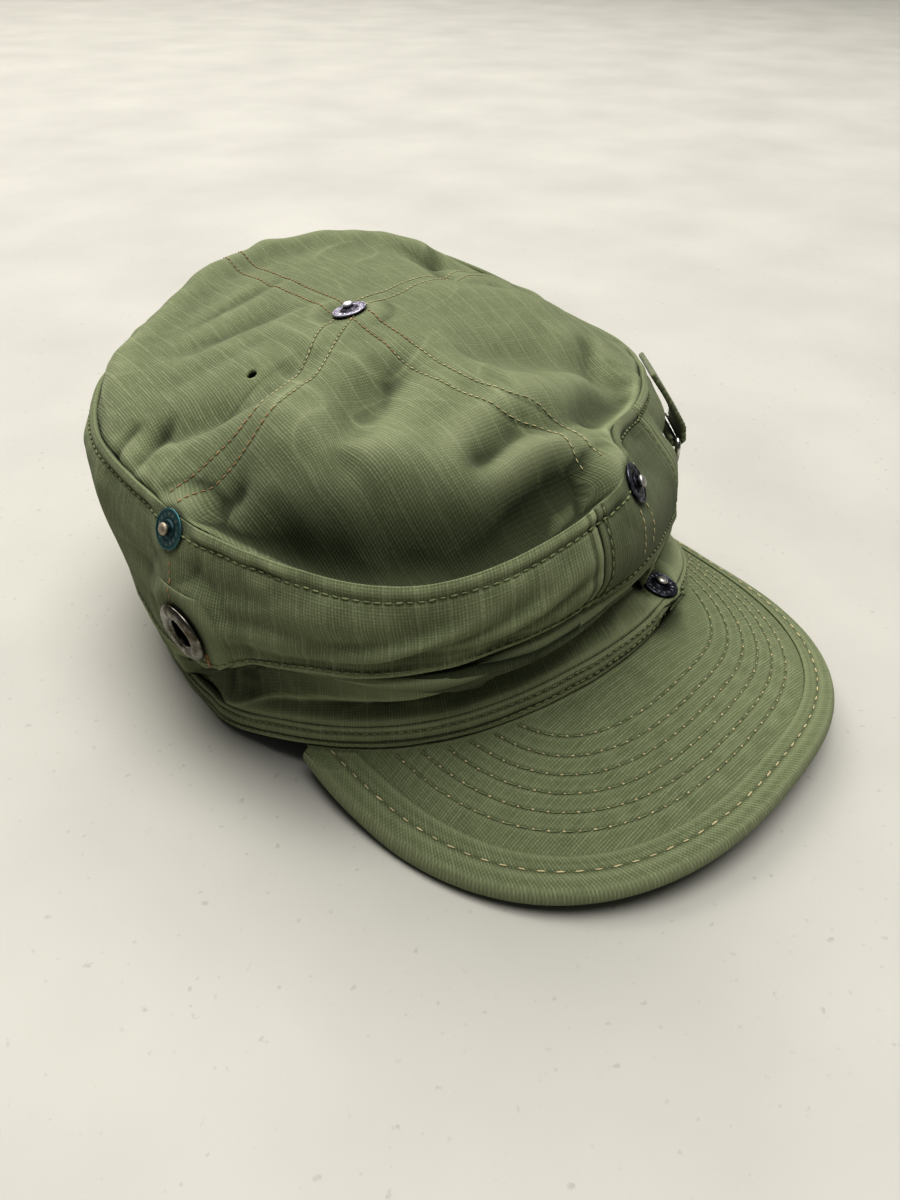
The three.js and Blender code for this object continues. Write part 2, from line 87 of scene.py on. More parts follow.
RING_HALF_WIDTH = 11.0
RING_HALF_HEIGHT = 4.5
RING_CORNER = 3.0
WALL_RADIUS = 92.0  # turns angles into lengths along the wall
PANEL_SPACING = 0.62  # size of the cells of the panels, the lower wall and the band
LOWER_SPACING = 0.95
BAND_SPACING = 0.8
SEAM_MITRE = 2.5  # width over which the cloth's inner face turns to meet its neighbour's
BROW_RISE = 5.4  # the top's front edge: a soft ridge, then a hollow behind the crown seam
BROW_SINK = 8.4
BACK_RISE = 3.6
TUCK_SINK = 9.5  # the lower wall is drawn in this far under the overhang
OVERHANG = 4.5
HOLLOW_PAINTED_SHADE = 0.75  # how far painted shade darkens the top's hollow and the front panel toward the crease shade colour
FRONT_PAINTED_SHADE = 0.5
FLOOR_HALF = 4.0  # half the floor's side, in metres

# Places on the cap's path, from the middle of the top to the rim
CROWN_SEAM = 1
LOWER_SEAM = 3
BAND_SEAM = 6
RIM = 7

# Upright sections through the wall, a row for each angle from the front. Out columns are
# measured from the rim's radius, z columns from the floor.
SECTION_NAMES = (
    "angle rim_r rim_z band_out tuck_out tuck_z fold_out fold_z low_out low_z "
    "belly_out belly_z crown_out crown_z"
).split()
SECTIONS = np.array([
    [-156, 88.5, 0, 0, 0, 16, 2, 26, 2, 36, 3, 62, -5, 83],
    [-134, 84, 0, 0, 0, 14, 2, 24, 3, 32, 7, 66, 0, 81],
    [-112, 81, 0, 0, 1, 10, 3, 19, 4, 27, 9, 66, 4, 78.5],
    [-92, 82.5, 0, 0, 1, 9, 3, 15, 3.5, 21, 7.5, 52, 2, 76],
    [-78, 87, 3, 0, 0, 17, 3, 25, 5, 31, 8, 52, 1, 75],
    [-64, 91, 9.5, 0, -3, 24, 4, 34, 8, 41, 8, 56, 1, 74],
    [-40, 99.5, 20, 0, -5, 33, 9, 41, 8, 48, 9, 60, 1, 73.5],
    [-16, 102, 27.5, -1, -7, 42, 3, 48, 3, 55, 4, 68, -4, 82],
    [-4, 101.5, 28.5, -0.5, -11, 46, -1, 51.5, 0, 57, -1, 70, -10, 84.5],
    [7, 101.5, 28.5, -0.5, -14, 45, -6, 49, -5.5, 55, -8, 70, -24, 84.5],
    [22, 101, 25.5, -1, -14, 39, -8.5, 43.5, -7.5, 50, -9.5, 66, -24, 82.5],
    [42, 97, 18, -3.5, -9, 31, -8, 37, -8, 43, -7, 64, -17, 79.5],
    [64, 89.5, 10, -1, -4, 22, 1, 29, 3, 36, 5, 60, -4, 77],
    [90, 83, 0, 0, 1, 12, 4, 20, 5, 29, 7, 57, 2, 79],
    [114, 82, 0, 0, 1, 14, 4, 24, 4, 34, 6, 66, 1, 89.5],
    [136, 85, 0, 0, 1, 16, 3, 27, 3, 38, 4, 68, -1, 95.5],
    [158, 89, 0, 0, 0, 16, 2, 28, 2, 40, 3, 68, -2, 96],
    [180, 91, 0, 0, 0, 17, 1, 29, 2, 40, 3, 65, -4, 91],
], float)
TURN = np.array([360.0] + [0.0] * (len(SECTION_NAMES) - 1))
LAPPED = np.vstack([SECTIONS[-2:] - TURN, SECTIONS, SECTIONS[:2] + TURN])

# Folds of the top panel in plan: both ends, width and depth; a depth below zero is a ridge.
TOP_FOLDS = [
    [-48, 38, -12, 31, 7, 3.5],
    [-77, 17, -52, -6, 6, 4],
    [-58, -8, -26, -2, 6, 3],
    [-66, -43, -14, -22, 9, 4.5],
    [-36, -64, 0, -70, 7, 4],
    [-42, -85, -20, -84, 5, 2.5],
    [6, -76, 52, -57, 7, 5],
    [52, 38, 84, 24, 8, 4],
    [-82, -12, -16, 3, 6, -1.5],
    [-78, -30, -50, -55, 9, -2],
]
# Lesser creases that only the fine cloth shows, in the same columns
TOP_CREASES = [
    [-31, 50, 4, 50, 4, 1.6],
    [-84, 10, -66, 14, 2.6, 2.2],
    [-85, 20, -72, 21, 2.2, 1.6],
    [-83, -30, -76, -48, 4, 2.2],
    [-84, -20, -72, -24, 3, 2.2],
    [-68, -44, -52, -46, 6, 2.6],
    [-57, -48, -61, -74, 8, 3.4],
    [-46, -30, -18, -24, 6, 2.2],
    [-38, -66, -12, -63, 5, 3.0],
    [-46, -81, -14, -84, 4.5, 3.0],
    [-40, -74, -10, -76, 5, -2.0],
    [3, -73, 42, -61, 5, 2.4],
    [50, -40, 36, -57, 4, 2.4],
    [26, -46, 54, -32, 6, -1.6],
    [56, 36, 44, 10, 5, 3.0],
    [48, 8, 64, 4, 4, 1.6],
    [2, -32, 44, -54, 12, 8.0],
    [16, 4, 62, -24, 12, -4.0],
    [-8, -62, 30, -54, 8, -2.6],
    [-2, -70, 34, -66, 6, 2.6],
    [58, 32, 74, 48, 4, 1.8],
    [-60, 24, -30, 16, 5, 1.4],
    [-50, -4, -36, -2, 5, 1.6],
    [-73, -32, -62, -20, 7, -1.2],
    [6, -55, -6, -50, 8, -1.6],
]
# Soft folds of the wall: angle and place on the cap's path at both ends, width and depth
WALL_FOLDS = [
    [-100, 1.9, -52, 1.95, 5, 1.6],
    [-96, 2.35, -62, 2.5, 4, 1.2],
    [-88, 1.55, -60, 1.6, 4, 1.0],
    [-58, 2.3, -34, 1.5, 6, 2.0],
    [-44, 2.55, -24, 1.6, 5, 1.8],
    [-30, 2.7, -16, 1.9, 4, 1.4],
    [-64, 2.65, -30, 2.55, 4, 1.2],
    [-140, 1.3, -110, 2.6, 7, 1.6],
    [-170, 2.4, -140, 1.5, 7, 1.4],
    [28, 1.4, 44, 2.5, 6, 1.6],
    [70, 1.5, 100, 2.6, 7, 1.6],
    [112, 2.4, 150, 1.5, 7, 1.6],
    [-62, 4.2, -22, 4.1, 4, 1.4],
    [-40, 5.0, -8, 4.7, 3, 1.0],
]

# Double rows of stitches that cross at the top stud, in plan, from end to end
ROW_LENGTHWISE = [(9, 88), (0, 41), (-6, 7), (-11, -18), (-15, -40), (-15, -58), (-8, -69), (-11, -84)]
ROW_CROSSWISE = [(-83, -10), (-63, -16), (-41, -11), (-6, 7), (18, 10), (47, 15), (82, 24)]
ROW_PAIR = 3.0  # each row of a pair lies this far from the middle
GRAIN_TURN = 13.0  # the top panel's threads lie this far from front to back, in degrees
CROWN_ROW = 3.9  # distances of the other rows from their seams
SEAM_ROW = 2.4
BAND_ROWS = (2.0, BAND_HEIGHT - 2.4)
PEAK_ROWS = (15.2, 19.5, 24.0, 28.5, 33.2, 38.2)  # distance from the peak's edge
BINDING_ROW = 5.7

# Studs: angle, place on the path, lean of the disc in x and y, and its finish
STUDS = {
    "top": (-139, 0.11, (-0.159, 0.181), "nickel"),
    "right": (-81.5, 1.18, (0, 0), "patina"),
    "front": (-3, 1.3, (0, 0), "dark"),
    "band": (8.7, 5.72, (-0.06, 0.3), "dark"),
    "left": (95, 1.22, (0, 0), "dark"),
    "back": (177.5, 1.3, (0, 0), "dark"),
}
EYELETS = {"right": (-79, 2.33), "left": (93, 2.4)}
HOLE = (-95, 0.545)


def linear(code):
    """Linear colour of an sRGB hex code."""
    channels = [int(code[i : i + 2], 16) / 255 for i in (0, 2, 4)]
    return tuple(c / 12.92 if c <= 0.04045 else ((c + 0.055) / 1.055) ** 2.4 for c in channels)


# Shape of the cap, for arrays of angles and places on its path


def hermite(a, b, slope_a, slope_b, u):
    """Smooth curve from a to b with the given slopes, at shares u."""
    u2, u3 = u * u, u * u * u
    ends = (2 * u3 - 3 * u2 + 1) * a + (3 * u2 - 2 * u3) * b
    return ends + (u3 - 2 * u2 + u) * slope_a + (u3 - u2) * slope_b


def section_at(angle):
    """Smooth curve round the head through the rows of SECTIONS."""
    first = SECTIONS[0, 0]
    wrapped = first + np.mod(np.asarray(angle, float) - first, 360)
    i = np.searchsorted(LAPPED[:, 0], wrapped, side="right") - 1
    before, here, after, beyond = (LAPPED[i + step] for step in (-1, 0, 1, 2))
    span = (after - here)[..., :1]
    slope_here = (after - before) / (after - before)[..., :1] * span
    slope_after = (beyond - here) / (beyond - here)[..., :1] * span
    u = (wrapped[..., None] - here[..., :1]) / span
    row = hermite(here, after, slope_here, slope_after, u)
    section = dict(zip(SECTION_NAMES, np.moveaxis(row, -1, 0)))
    section["rim_z"] = np.maximum(section["rim_z"], 0)
    return section


def angle_at(x, y):
    """Angle from the front of places in plan."""
    return np.degrees(np.arctan2(x, -y))


def polar(angle, radius, z):
    """Points at angles from the front and distances from the head centre."""
    a = np.radians(angle)
    return np.stack(np.broadcast_arrays(radius * np.sin(a), -radius * np.cos(a), z), -1)


def through_stations(stations, along):
    """Value at a place on the wall's path, on a smooth curve through its stations."""
    first = 2 * stations[..., :1] - stations[..., 1:2]
    last = 2 * stations[..., -1:] - stations[..., -2:-1]
    padded = np.concatenate([first, stations, last], -1)
    i = np.clip(np.floor(along).astype(int), 0, stations.shape[-1] - 2)
    a, b, c, d = (np.take_along_axis(padded, (i + k)[..., None], -1)[..., 0] for k in range(4))
    return hermite(b, c, (c - a) / 2, (d - b) / 2, along - i)


def wall_point(angle, along):
    """The wall at an angle, from the crown seam (0) down to the rim (6)."""
    s = section_at(angle)
    out = [s["crown_out"], s["belly_out"], s["low_out"], s["fold_out"], s["tuck_out"]]
    out = np.stack([*out, s["band_out"] - GAP, s["rim_r"] * 0], -1) + s["rim_r"][..., None]
    z = [s["crown_z"], s["belly_z"], s["low_z"], s["fold_z"], s["tuck_z"]]
    z = np.stack([*z, s["rim_z"] + BAND_HEIGHT, s["rim_z"]], -1)
    return polar(angle, through_stations(out, along), through_stations(z, along))


def fold_depth(x, y, folds):
    """How far a list of straight folds sinks the cloth."""
    depth = np.zeros(np.shape(x))
    for x0, y0, x1, y1, width, deep in folds:
        length = math.hypot(x1 - x0, y1 - y0)
        ux, uy = (x1 - x0) / length, (y1 - y0) / length
        along = ((x - x0) * ux + (y - y0) * uy) / length
        across = ((y - y0) * ux - (x - x0) * uy) / width
        depth = depth + deep * np.exp(-across * across) * np.exp(-(((along - 0.5) / 0.5) ** 4))
    return depth


def top_point(angle, share):
    """The top panel at an angle, from its middle (0) to the crown seam (1)."""
    s = section_at(angle)
    point = polar(angle, (s["rim_r"] + s["crown_out"]) * share, 0.0)
    near_seam = np.clip((1 - share) * 6, 0, 1)
    fall = (s["crown_z"] - CROWN_TOP_Z) * share**CROWN_FALL
    drop = fold_depth(point[..., 0], point[..., 1], TOP_FOLDS) * near_seam
    point[..., 2] = CROWN_TOP_Z + fall - drop
    return point


def cap_point(angle, along):
    """The cloth at an angle, from the middle of the top (0) over the crown seam (1) to the rim (7)."""
    angle, along = np.broadcast_arrays(np.asarray(angle, float), np.asarray(along, float))
    top = top_point(angle, np.clip(along, 0, 1))
    wall = wall_point(angle, np.maximum(along - CROWN_SEAM, 0))
    return np.where((along < CROWN_SEAM)[..., None], top, wall)


def unit(vectors):
    """Vectors of length one."""
    return vectors / np.maximum(np.linalg.norm(vectors, axis=-1, keepdims=True), 1e-9)


def seam_normal(angle, along):
    """Outward direction halfway between the cloth before and after a seam."""
    step = 0.01
    before = unit(cap_point(angle, along) - cap_point(angle, along - step))
    after = unit(cap_point(angle, along + step) - cap_point(angle, along))
    down = before + after if along < RIM else before
    around = cap_point(np.add(angle, 0.5), along) - cap_point(np.subtract(angle, 0.5), along)
    return unit(-np.cross(around, down))


def step_along(angle, along, distance):
    """Place on the path a given distance further along the cloth."""
    step = 0.01 * math.copysign(1, distance)
    here, there = cap_point(angle, along), cap_point(angle, along + step)
    return along + distance / np.linalg.norm(there - here, axis=-1) * abs(step)


def smooth_line(points, step=1.0):
    """Curve through a short list of points, with a point every step."""
    points = np.asarray(points, float)
    padded = np.vstack([2 * points[0] - points[1], points, 2 * points[-1] - points[-2]])
    parts = []
    for i in range(1, len(padded) - 2):
        a, b, c, d = padded[i - 1 : i + 3]
        count = max(2, int(np.linalg.norm(c - b) / step))
        u = np.arange(count)[:, None] / count
        parts.append(hermite(b, c, (c - a) / 2, (d - b) / 2, u))
    return np.vstack([*parts, points[-1:]])


def beside(line, distance):
    """A plan line moved sideways."""
    along = unit(np.gradient(line, axis=0))
    return line + distance * np.stack([-along[:, 1], along[:, 0]], -1)


def distance_to_line(x, y, line):
    """Distance in plan from each point to a line with closely spaced points."""
    found = np.full(np.shape(x), np.inf)
    for (x0, y0), (x1, y1) in zip(line[:-1], line[1:]):
        dx, dy = x1 - x0, y1 - y0
        share = np.clip(((x - x0) * dx + (y - y0) * dy) / (dx * dx + dy * dy), 0, 1)
        found = np.minimum(found, np.hypot(x - x0 - share * dx, y - y0 - share * dy))
    return found


LATTICE = 48  # random values along each side of the noise, which repeats after them


def noise(points, size, seed):
    """Smooth noise from -1 to 1 in lumps of one size in millimetres."""
    lattice = np.random.default_rng(seed).uniform(-1, 1, (LATTICE,) * 3)
    scaled = np.asarray(points, float) / size
    low = np.floor(scaled).astype(int)
    t = scaled - low
    t = t * t * (3 - 2 * t)
    total = np.zeros(low.shape[:-1])
    for corner in np.ndindex(2, 2, 2):
        weight = np.prod(np.where(corner, t, 1 - t), axis=-1)
        i, j, k = np.moveaxis((low + corner) % LATTICE, -1, 0)
        total += weight * lattice[i, j, k]
    return total


def bell(distance, width):
    """One at no distance, fading to nothing over about two widths."""
    return np.exp(-((distance / width) ** 2))


def crumple(points):
    """Soft unevenness of washed cotton, with creases between its lumps."""
    broad = 0.8 * noise(points, 30, 3)
    creased = 0.7 - 2.2 * np.abs(noise(points, 17, 5))
    small = 0.35 * noise(points, 8, 7)
    return broad + 0.55 * creased + small


def place_on_cloth(angle, along, radius):
    """Centre and normal of a disc that lies on the highest cloth under it."""
    centre = cap_point(angle, along)
    per_degree = np.linalg.norm(cap_point(angle + 1, along) - centre)
    per_path = np.linalg.norm(cap_point(angle, along + 0.01) - centre) / 0.01
    turns = np.radians(np.arange(8) * 45)
    east, down = radius * np.cos(turns) / per_degree, radius * np.sin(turns) / per_path
    ring = cap_point(angle + east, along + down)
    normal = unit(-np.cross(ring[0] - ring[4], ring[2] - ring[6]))
    lift = max(0.0, float(((ring - centre) @ normal).max()))
    return centre + normal * lift, normal


def hardware():
    """Every disc on the cloth as centre, normal and radius."""
    found = {}
    for name, (angle, along, lean, _finish) in STUDS.items():
        centre, normal = place_on_cloth(angle, along, STUD_RADIUS)
        found["stud_" + name] = (centre, unit(normal + np.array([*lean, 0.0])), STUD_RADIUS)
    for name, (angle, along) in EYELETS.items():
        centre, normal = place_on_cloth(angle, along, EYELET_FLANGE)
        found["eyelet_" + name] = (centre, normal, EYELET_FLANGE)
    return found


HARDWARE = hardware()
PRESS_REACH = 1.4  # cloth is drawn to a disc's plane within this share of its radius


def pressed(points):
    """Draws the cloth near each stud and eyelet to the plane of its disc."""
    moved = points.copy()
    for centre, normal, radius in HARDWARE.values():
        away = points - centre
        height = away @ normal
        flat = np.linalg.norm(away - height[..., None] * normal, axis=-1)
        share = np.clip((flat - radius - 0.4) / (PRESS_REACH * radius), 0, 1)
        hold = (1 - share * share * (3 - 2 * share)) * (np.abs(height) < 12)
        moved = moved - (hold * (height + 0.12))[..., None] * normal
    return moved


# Grids of points and the closed shells made of them


def neighbour(grid, di, dj, wrap):
    """The grid moved by whole cells, held at its open edges."""
    i, j = np.arange(grid.shape[0]) + di, np.arange(grid.shape[1]) + dj
    i = i % grid.shape[0] if wrap else np.clip(i, 0, grid.shape[0] - 1)
    return grid[i][:, np.clip(j, 0, grid.shape[1] - 1)]


def grid_normals(points, wrap):
    """Outward directions at the points of a grid."""
    across = neighbour(points, 1, 0, wrap) - neighbour(points, -1, 0, wrap)
    down = neighbour(points, 0, 1, wrap) - neighbour(points, 0, -1, wrap)
    normals = unit(np.cross(across, down))
    outward = points - np.array([0, 0, 35.0])
    return normals if (normals * outward).sum() > 0 else -normals


def convexity(points, normals, wrap, step):
    """How far each point stands proud of its neighbours, in millimetres."""
    moves = ((step, 0), (-step, 0), (0, step), (0, -step))
    around = sum(neighbour(points, di, dj, wrap) for di, dj in moves) / 4
    return ((points - around) * normals).sum(-1)


def corners(grid):
    """The four corners of each cell of a grid."""
    quad = [grid[:-1, :-1], grid[1:, :-1], grid[1:, 1:], grid[:-1, 1:]]
    return np.stack(quad, 2).reshape(-1, 4, *grid.shape[2:])


def border(grid, wrap):
    """The grid's open edges as loops that run the way its faces do."""
    if wrap:
        return [grid[:, 0], grid[::-1, -1]]
    sides = [grid[:-1, 0], grid[-1, :-1], grid[:0:-1, -1], grid[0, :0:-1]]
    return [np.concatenate(sides)]


def joined_loops(fine, coarse):
    """Faces between a loop and one with half as many points."""
    faces = []
    count = len(coarse)
    for k in range(count):
        following = coarse[(k + 1) % count]
        a, b, c = fine[2 * k], fine[2 * k + 1], fine[(2 * k + 2) % len(fine)]
        faces.append([b, a, coarse[k], following])
        faces.append([c, b, following])
    return faces


def shell(name, outer, inner, uv, wrap=False, turn=0.0, hole=None, worn=None):
    """A closed cloth body between a fine outer grid and an inner one, which keeps every second
    point. uv is in millimetres along the grain; turn is its length once round a wrapped grid."""
    inner = inner[::2, ::2]
    inner_uv = uv[::2, ::2]
    total = outer.shape[0] * outer.shape[1]
    ids = np.arange(total).reshape(outer.shape[:2])
    inner_ids = total + np.arange(inner.shape[0] * inner.shape[1]).reshape(inner.shape[:2])
    keep = np.ones(ids.shape, bool)
    inner_keep = np.ones(inner_ids.shape, bool)
    if hole:
        i, j = hole
        keep[i - 1 : i + 2, j - 1 : j + 2] = False
        inner_keep[i // 2, j // 2] = False
    faces, mapped = [], []
    for grid, grid_uv, kept, flip in ((ids, uv, keep, 1), (inner_ids, inner_uv, inner_keep, -1)):
        if wrap:
            grid = np.concatenate([grid, grid[:1]])
            kept = np.concatenate([kept, kept[:1]])
            grid_uv = np.concatenate([grid_uv, grid_uv[:1] + np.array([turn, 0])])
        whole = corners(kept).all(1)
        faces += corners(grid)[whole][:, ::flip].tolist()
        mapped.append(corners(grid_uv)[whole][:, ::flip].reshape(-1, 2))
    rims = list(zip(border(ids, wrap), border(inner_ids, wrap)))
    if hole:
        i, j = hole
        ring = border(ids[i - 2 : i + 3, j - 2 : j + 3], False)[0][::-1]
        inside = border(inner_ids[i // 2 - 1 : i // 2 + 2, j // 2 - 1 : j // 2 + 2], False)[0][::-1]
        rims.append((np.roll(ring, 1), np.roll(inside, 1)))
    edge_faces = [face for fine, coarse in rims for face in joined_loops(fine, coarse)]
    flat_uv = np.concatenate([uv.reshape(-1, 2), inner_uv.reshape(-1, 2)])
    mapped.append(flat_uv[[v for face in edge_faces for v in face]])
    faces += edge_faces
    points = np.concatenate([outer.reshape(-1, 3), inner.reshape(-1, 3)])
    values = {}
    for key, grid in (worn or {}).items():
        values[key] = np.concatenate([grid.ravel(), grid[::2, ::2].ravel()])
    return mesh_piece(name, points, faces, np.concatenate(mapped), values)


def linked(name, data):
    """An object for the data, in the scene."""
    made = bpy.data.objects.new(name, data)
    bpy.context.scene.collection.objects.link(made)
    return made


def mesh_piece(name, points, faces, corner_uv=None, values=None):
    """A smooth mesh object in the shared frame, from points in millimetres."""
    lengths = np.array([len(face) for face in faces])
    flat = np.array([v for face in faces for v in face])
    starts = np.concatenate([[0], np.cumsum(lengths)[:-1]])
    a, b, c = (points[flat[starts + k]] for k in range(3))
    volume = (a * np.cross(b, c)).sum()
    quads = lengths == 4
    d = points[flat[(starts + 3)[quads]]]
    volume += (a[quads] * np.cross(c[quads], d)).sum()
    used, flat = np.unique(flat, return_inverse=True)
    if volume < 0:
        order = np.concatenate([np.arange(s + n - 1, s - 1, -1) for s, n in zip(starts, lengths)])
        flat = flat[order]
        corner_uv = None if corner_uv is None else corner_uv[order]
    mesh = bpy.data.meshes.new(name)
    placed = (points[used] + HEAD_CENTRE) * MM
    split = np.split(flat, starts[1:])
    mesh.from_pydata(placed.tolist(), [], [face.tolist() for face in split])
    if corner_uv is not None:
        layer = mesh.uv_layers.new(name="cloth")
        layer.data.foreach_set("uv", corner_uv.astype(np.float32).ravel())
    for key, array in (values or {}).items():
        attribute = mesh.attributes.new(key, "FLOAT", "POINT")
        attribute.data.foreach_set("value", array[used].astype(np.float32))
    mesh.shade_smooth()
    mesh.update()
    return linked(name, mesh)


def finish_piece(piece, material, nodes=()):
    """Gives a piece its material, its body and the solids that it stands for."""
    piece.data.materials.clear()
    piece.data.materials.append(material)
    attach(piece, "root")
    if nodes:
        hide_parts(*nodes)


def wear_and_shade_of(points, wrap, step=3, gain=1.6):
    """Worn high places, and painted shade in low ones, from 0 to 1."""
    normals = grid_normals(points, wrap)
    proud = convexity(points, normals, wrap, step)
    near = convexity(points, normals, wrap, 1)
    high = np.clip(proud * gain + near * 4 * gain, 0, 1)
    low = np.clip(-proud * gain - near * 3 * gain, 0, 1)
    return {"wear": high, "shade": low}


def inner_points(points, normals, thickness, ends=()):
    """The inner face of the cloth. ends holds weights and directions that mitre it at seams."""
    inward = normals
    for weight, direction in ends:
        inward = inward * (1 - weight[..., None]) + direction * weight[..., None]
    return points - unit(inward) * thickness


def cloth_faces(points, relief, wrap, ends):
    """Outer and inner faces of cloth raised by its relief. ends is as for inner_points."""
    cloth = pressed(points + grid_normals(points, wrap) * relief[..., None])
    return cloth, inner_points(cloth, grid_normals(cloth, wrap), CLOTH, ends)


def around_uv(angle, down):
    """The wall's cloth laid flat, in millimetres."""
    return np.stack([np.radians(angle) * WALL_RADIUS, down], -1)


# Cloth pieces


def crown_top(settings):
    """Top panel on an even square grid bent to its outline, with the worn hole cut through."""
    count = settings.top_cells
    a, b = np.meshgrid(*[np.linspace(-1, 1, count + 1)] * 2, indexing="ij")
    share = np.maximum(np.abs(a), np.abs(b))
    safe = np.where(share == 0, 1, share)
    wide = np.abs(a) > np.abs(b)
    turn = np.where(wide, b * np.sign(a) / safe, np.sign(b) * 2 - a * np.sign(b) / safe)
    turn = np.where(wide & (a < 0), turn + 4, turn)
    angle = 90 + turn * 45
    s = section_at(angle)
    seam_radius = s["rim_r"] + s["crown_out"]
    share = share * (1 - GAP / 2 / seam_radius)
    points = cap_point(angle, share)
    hole_at = cap_point(*HOLE)
    inside = points[2:-2:2, 2:-2:2]
    nearest = np.hypot(inside[..., 0] - hole_at[0], inside[..., 1] - hole_at[1])
    i, j = (2 * k + 2 for k in np.unravel_index(np.argmin(nearest), nearest.shape))
    points = open_hole(points, (i, j), hole_at)
    x, y = points[..., 0], points[..., 1]
    angle = angle_at(x, y)
    inward = seam_radius * (1 - share)
    fade = 1 - 0.6 * bell(inward, 6)
    arc = np.stack([x, y, x * 0], -1)
    tight = noise(arc, 7, 11) * bell(inward, 9) * 0.9
    rows = [
        beside(smooth_line(route, 3), side)
        for route in (ROW_LENGTHWISE, ROW_CROSSWISE)
        for side in (-ROW_PAIR, ROW_PAIR)
    ]
    to_row = np.minimum.reduce([distance_to_line(x, y, row) for row in rows])
    groove = settings.stitch_groove / MM
    relief = settings.wrinkle * crumple(points) * fade + tight
    relief -= settings.wrinkle * fold_depth(x, y, TOP_CREASES)
    relief -= groove * 0.35 * bell(to_row, 0.6)
    relief -= 0.9 * bell(inward, 1.4)
    brow = np.clip((angle + 90) / 18, 0, 1) * np.clip(-angle / 14, 0, 1)
    brow = brow * (0.85 + 0.6 * noise(arc, 26, 13))
    sunk = bell(inward - 4, 10) * np.clip(inward / 2.6, 0, 1)
    relief += brow * (BROW_RISE * bell(inward - 31, 13) - BROW_SINK * sunk)
    behind = np.clip((np.abs(angle) - 108) / 16, 0, 1) * np.clip(inward / 4, 0, 1)
    relief += BACK_RISE * bell(inward - 7, 7) * behind
    ends = [(bell(inward, SEAM_MITRE), seam_normal(angle, CROWN_SEAM))]
    cloth, under = cloth_faces(points, relief, False, ends)
    grain = math.radians(GRAIN_TURN)
    across_grain = x * math.cos(grain) - y * math.sin(grain)
    uv = np.stack([across_grain, x * math.sin(grain) + y * math.cos(grain)], -1)
    worn = wear_and_shade_of(cloth, False)
    # Painted shade: the hollow behind the crown seam is darkened beyond what the lights make of it
    painted_darkening = brow * bell(inward - 9, 15) * np.clip(inward / 3, 0, 1)
    worn["shade"] = np.clip(worn["shade"] + HOLLOW_PAINTED_SHADE * painted_darkening, 0, 1)
    piece = shell("crown_top_cloth", cloth, under, uv, hole=(i, j), worn=worn)
    finish_piece(piece, cloth_material(settings), ["crown_top"])


def open_hole(points, middle, centre):
    """Spreads the grid round its removed middle to the rim of the worn hole."""
    moved = points.copy()
    reach = 9
    i0, j0 = middle
    spacing = np.linalg.norm(points[i0 + 1, j0] - points[i0, j0])
    for i in range(i0 - reach, i0 + reach + 1):
        for j in range(j0 - reach, j0 + reach + 1):
            ring = max(abs(i - i0), abs(j - j0))
            if ring < 2:
                continue
            away = (points[i, j] - points[i0, j0])[:2]
            direction = away / np.linalg.norm(away)
            circle = centre[:2] + direction * (HOLE_RADIUS + (ring - 2) * spacing)
            share = (ring - 2) / (reach - 2)
            plan = circle * (1 - share) + points[i, j, :2] * share
            angle = angle_at(*plan)
            s = section_at(angle)
            radius = float(s["rim_r"] + s["crown_out"])
            moved[i, j] = top_point(angle, math.hypot(*plan) / radius)
    return moved


def wall_grid(start, end, top, bottom, spacing, wrap=False):
    """Angles, places and points of a piece of wall, with even counts of cells."""
    middle = section_at((start + end) / 2)
    round_it = math.radians(end - start) * float(middle["rim_r"])
    columns = 2 * round(round_it / spacing / 2)
    downward = cap_point((start + end) / 2, np.linspace(top, bottom, 60))
    length = np.linalg.norm(np.diff(downward, axis=0), axis=1).sum()
    rows = 2 * round(length / spacing / 2)
    angles = np.linspace(start, end, columns + 1)
    if wrap:
        angles = angles[:-1]
    angle, along = np.meshgrid(angles, np.linspace(0, 1, rows + 1), indexing="ij")
    first = step_along(angle, top, GAP / 2)
    last = np.full(angle.shape, float(bottom)) if bottom == RIM else step_along(angle, bottom, -GAP / 2)
    along = first + (last - first) * along
    points = cap_point(angle, along)
    steps = np.linalg.norm(np.diff(points, axis=1), axis=-1)
    down = np.concatenate([np.zeros((len(points), 1)), np.cumsum(steps, 1)], 1)
    up = down[:, -1:] - down
    return angle, along, points, down, up


def wall_folds(angle, along):
    """Depth of the wall's soft folds."""
    angle = np.mod(angle + 182, 360) - 182
    per_degree, per_place = 1.6, 22.0
    folds = [
        [a0 * per_degree, p0 * per_place, a1 * per_degree, p1 * per_place, width, deep]
        for a0, p0, a1, p1, width, deep in WALL_FOLDS
    ]
    return 2 * fold_depth(angle * per_degree, along * per_place, folds)


def signed(angle):
    """The same angle between -180 and 180."""
    return np.mod(angle + 180, 360) - 180


def overhang(angle):
    """How far the lower seam is drawn in under the wall's belly, in millimetres."""
    side = signed(angle)
    return OVERHANG * np.clip((side + 98) / 30, 0, 1) * np.clip((2 - side) / 18, 0, 1)


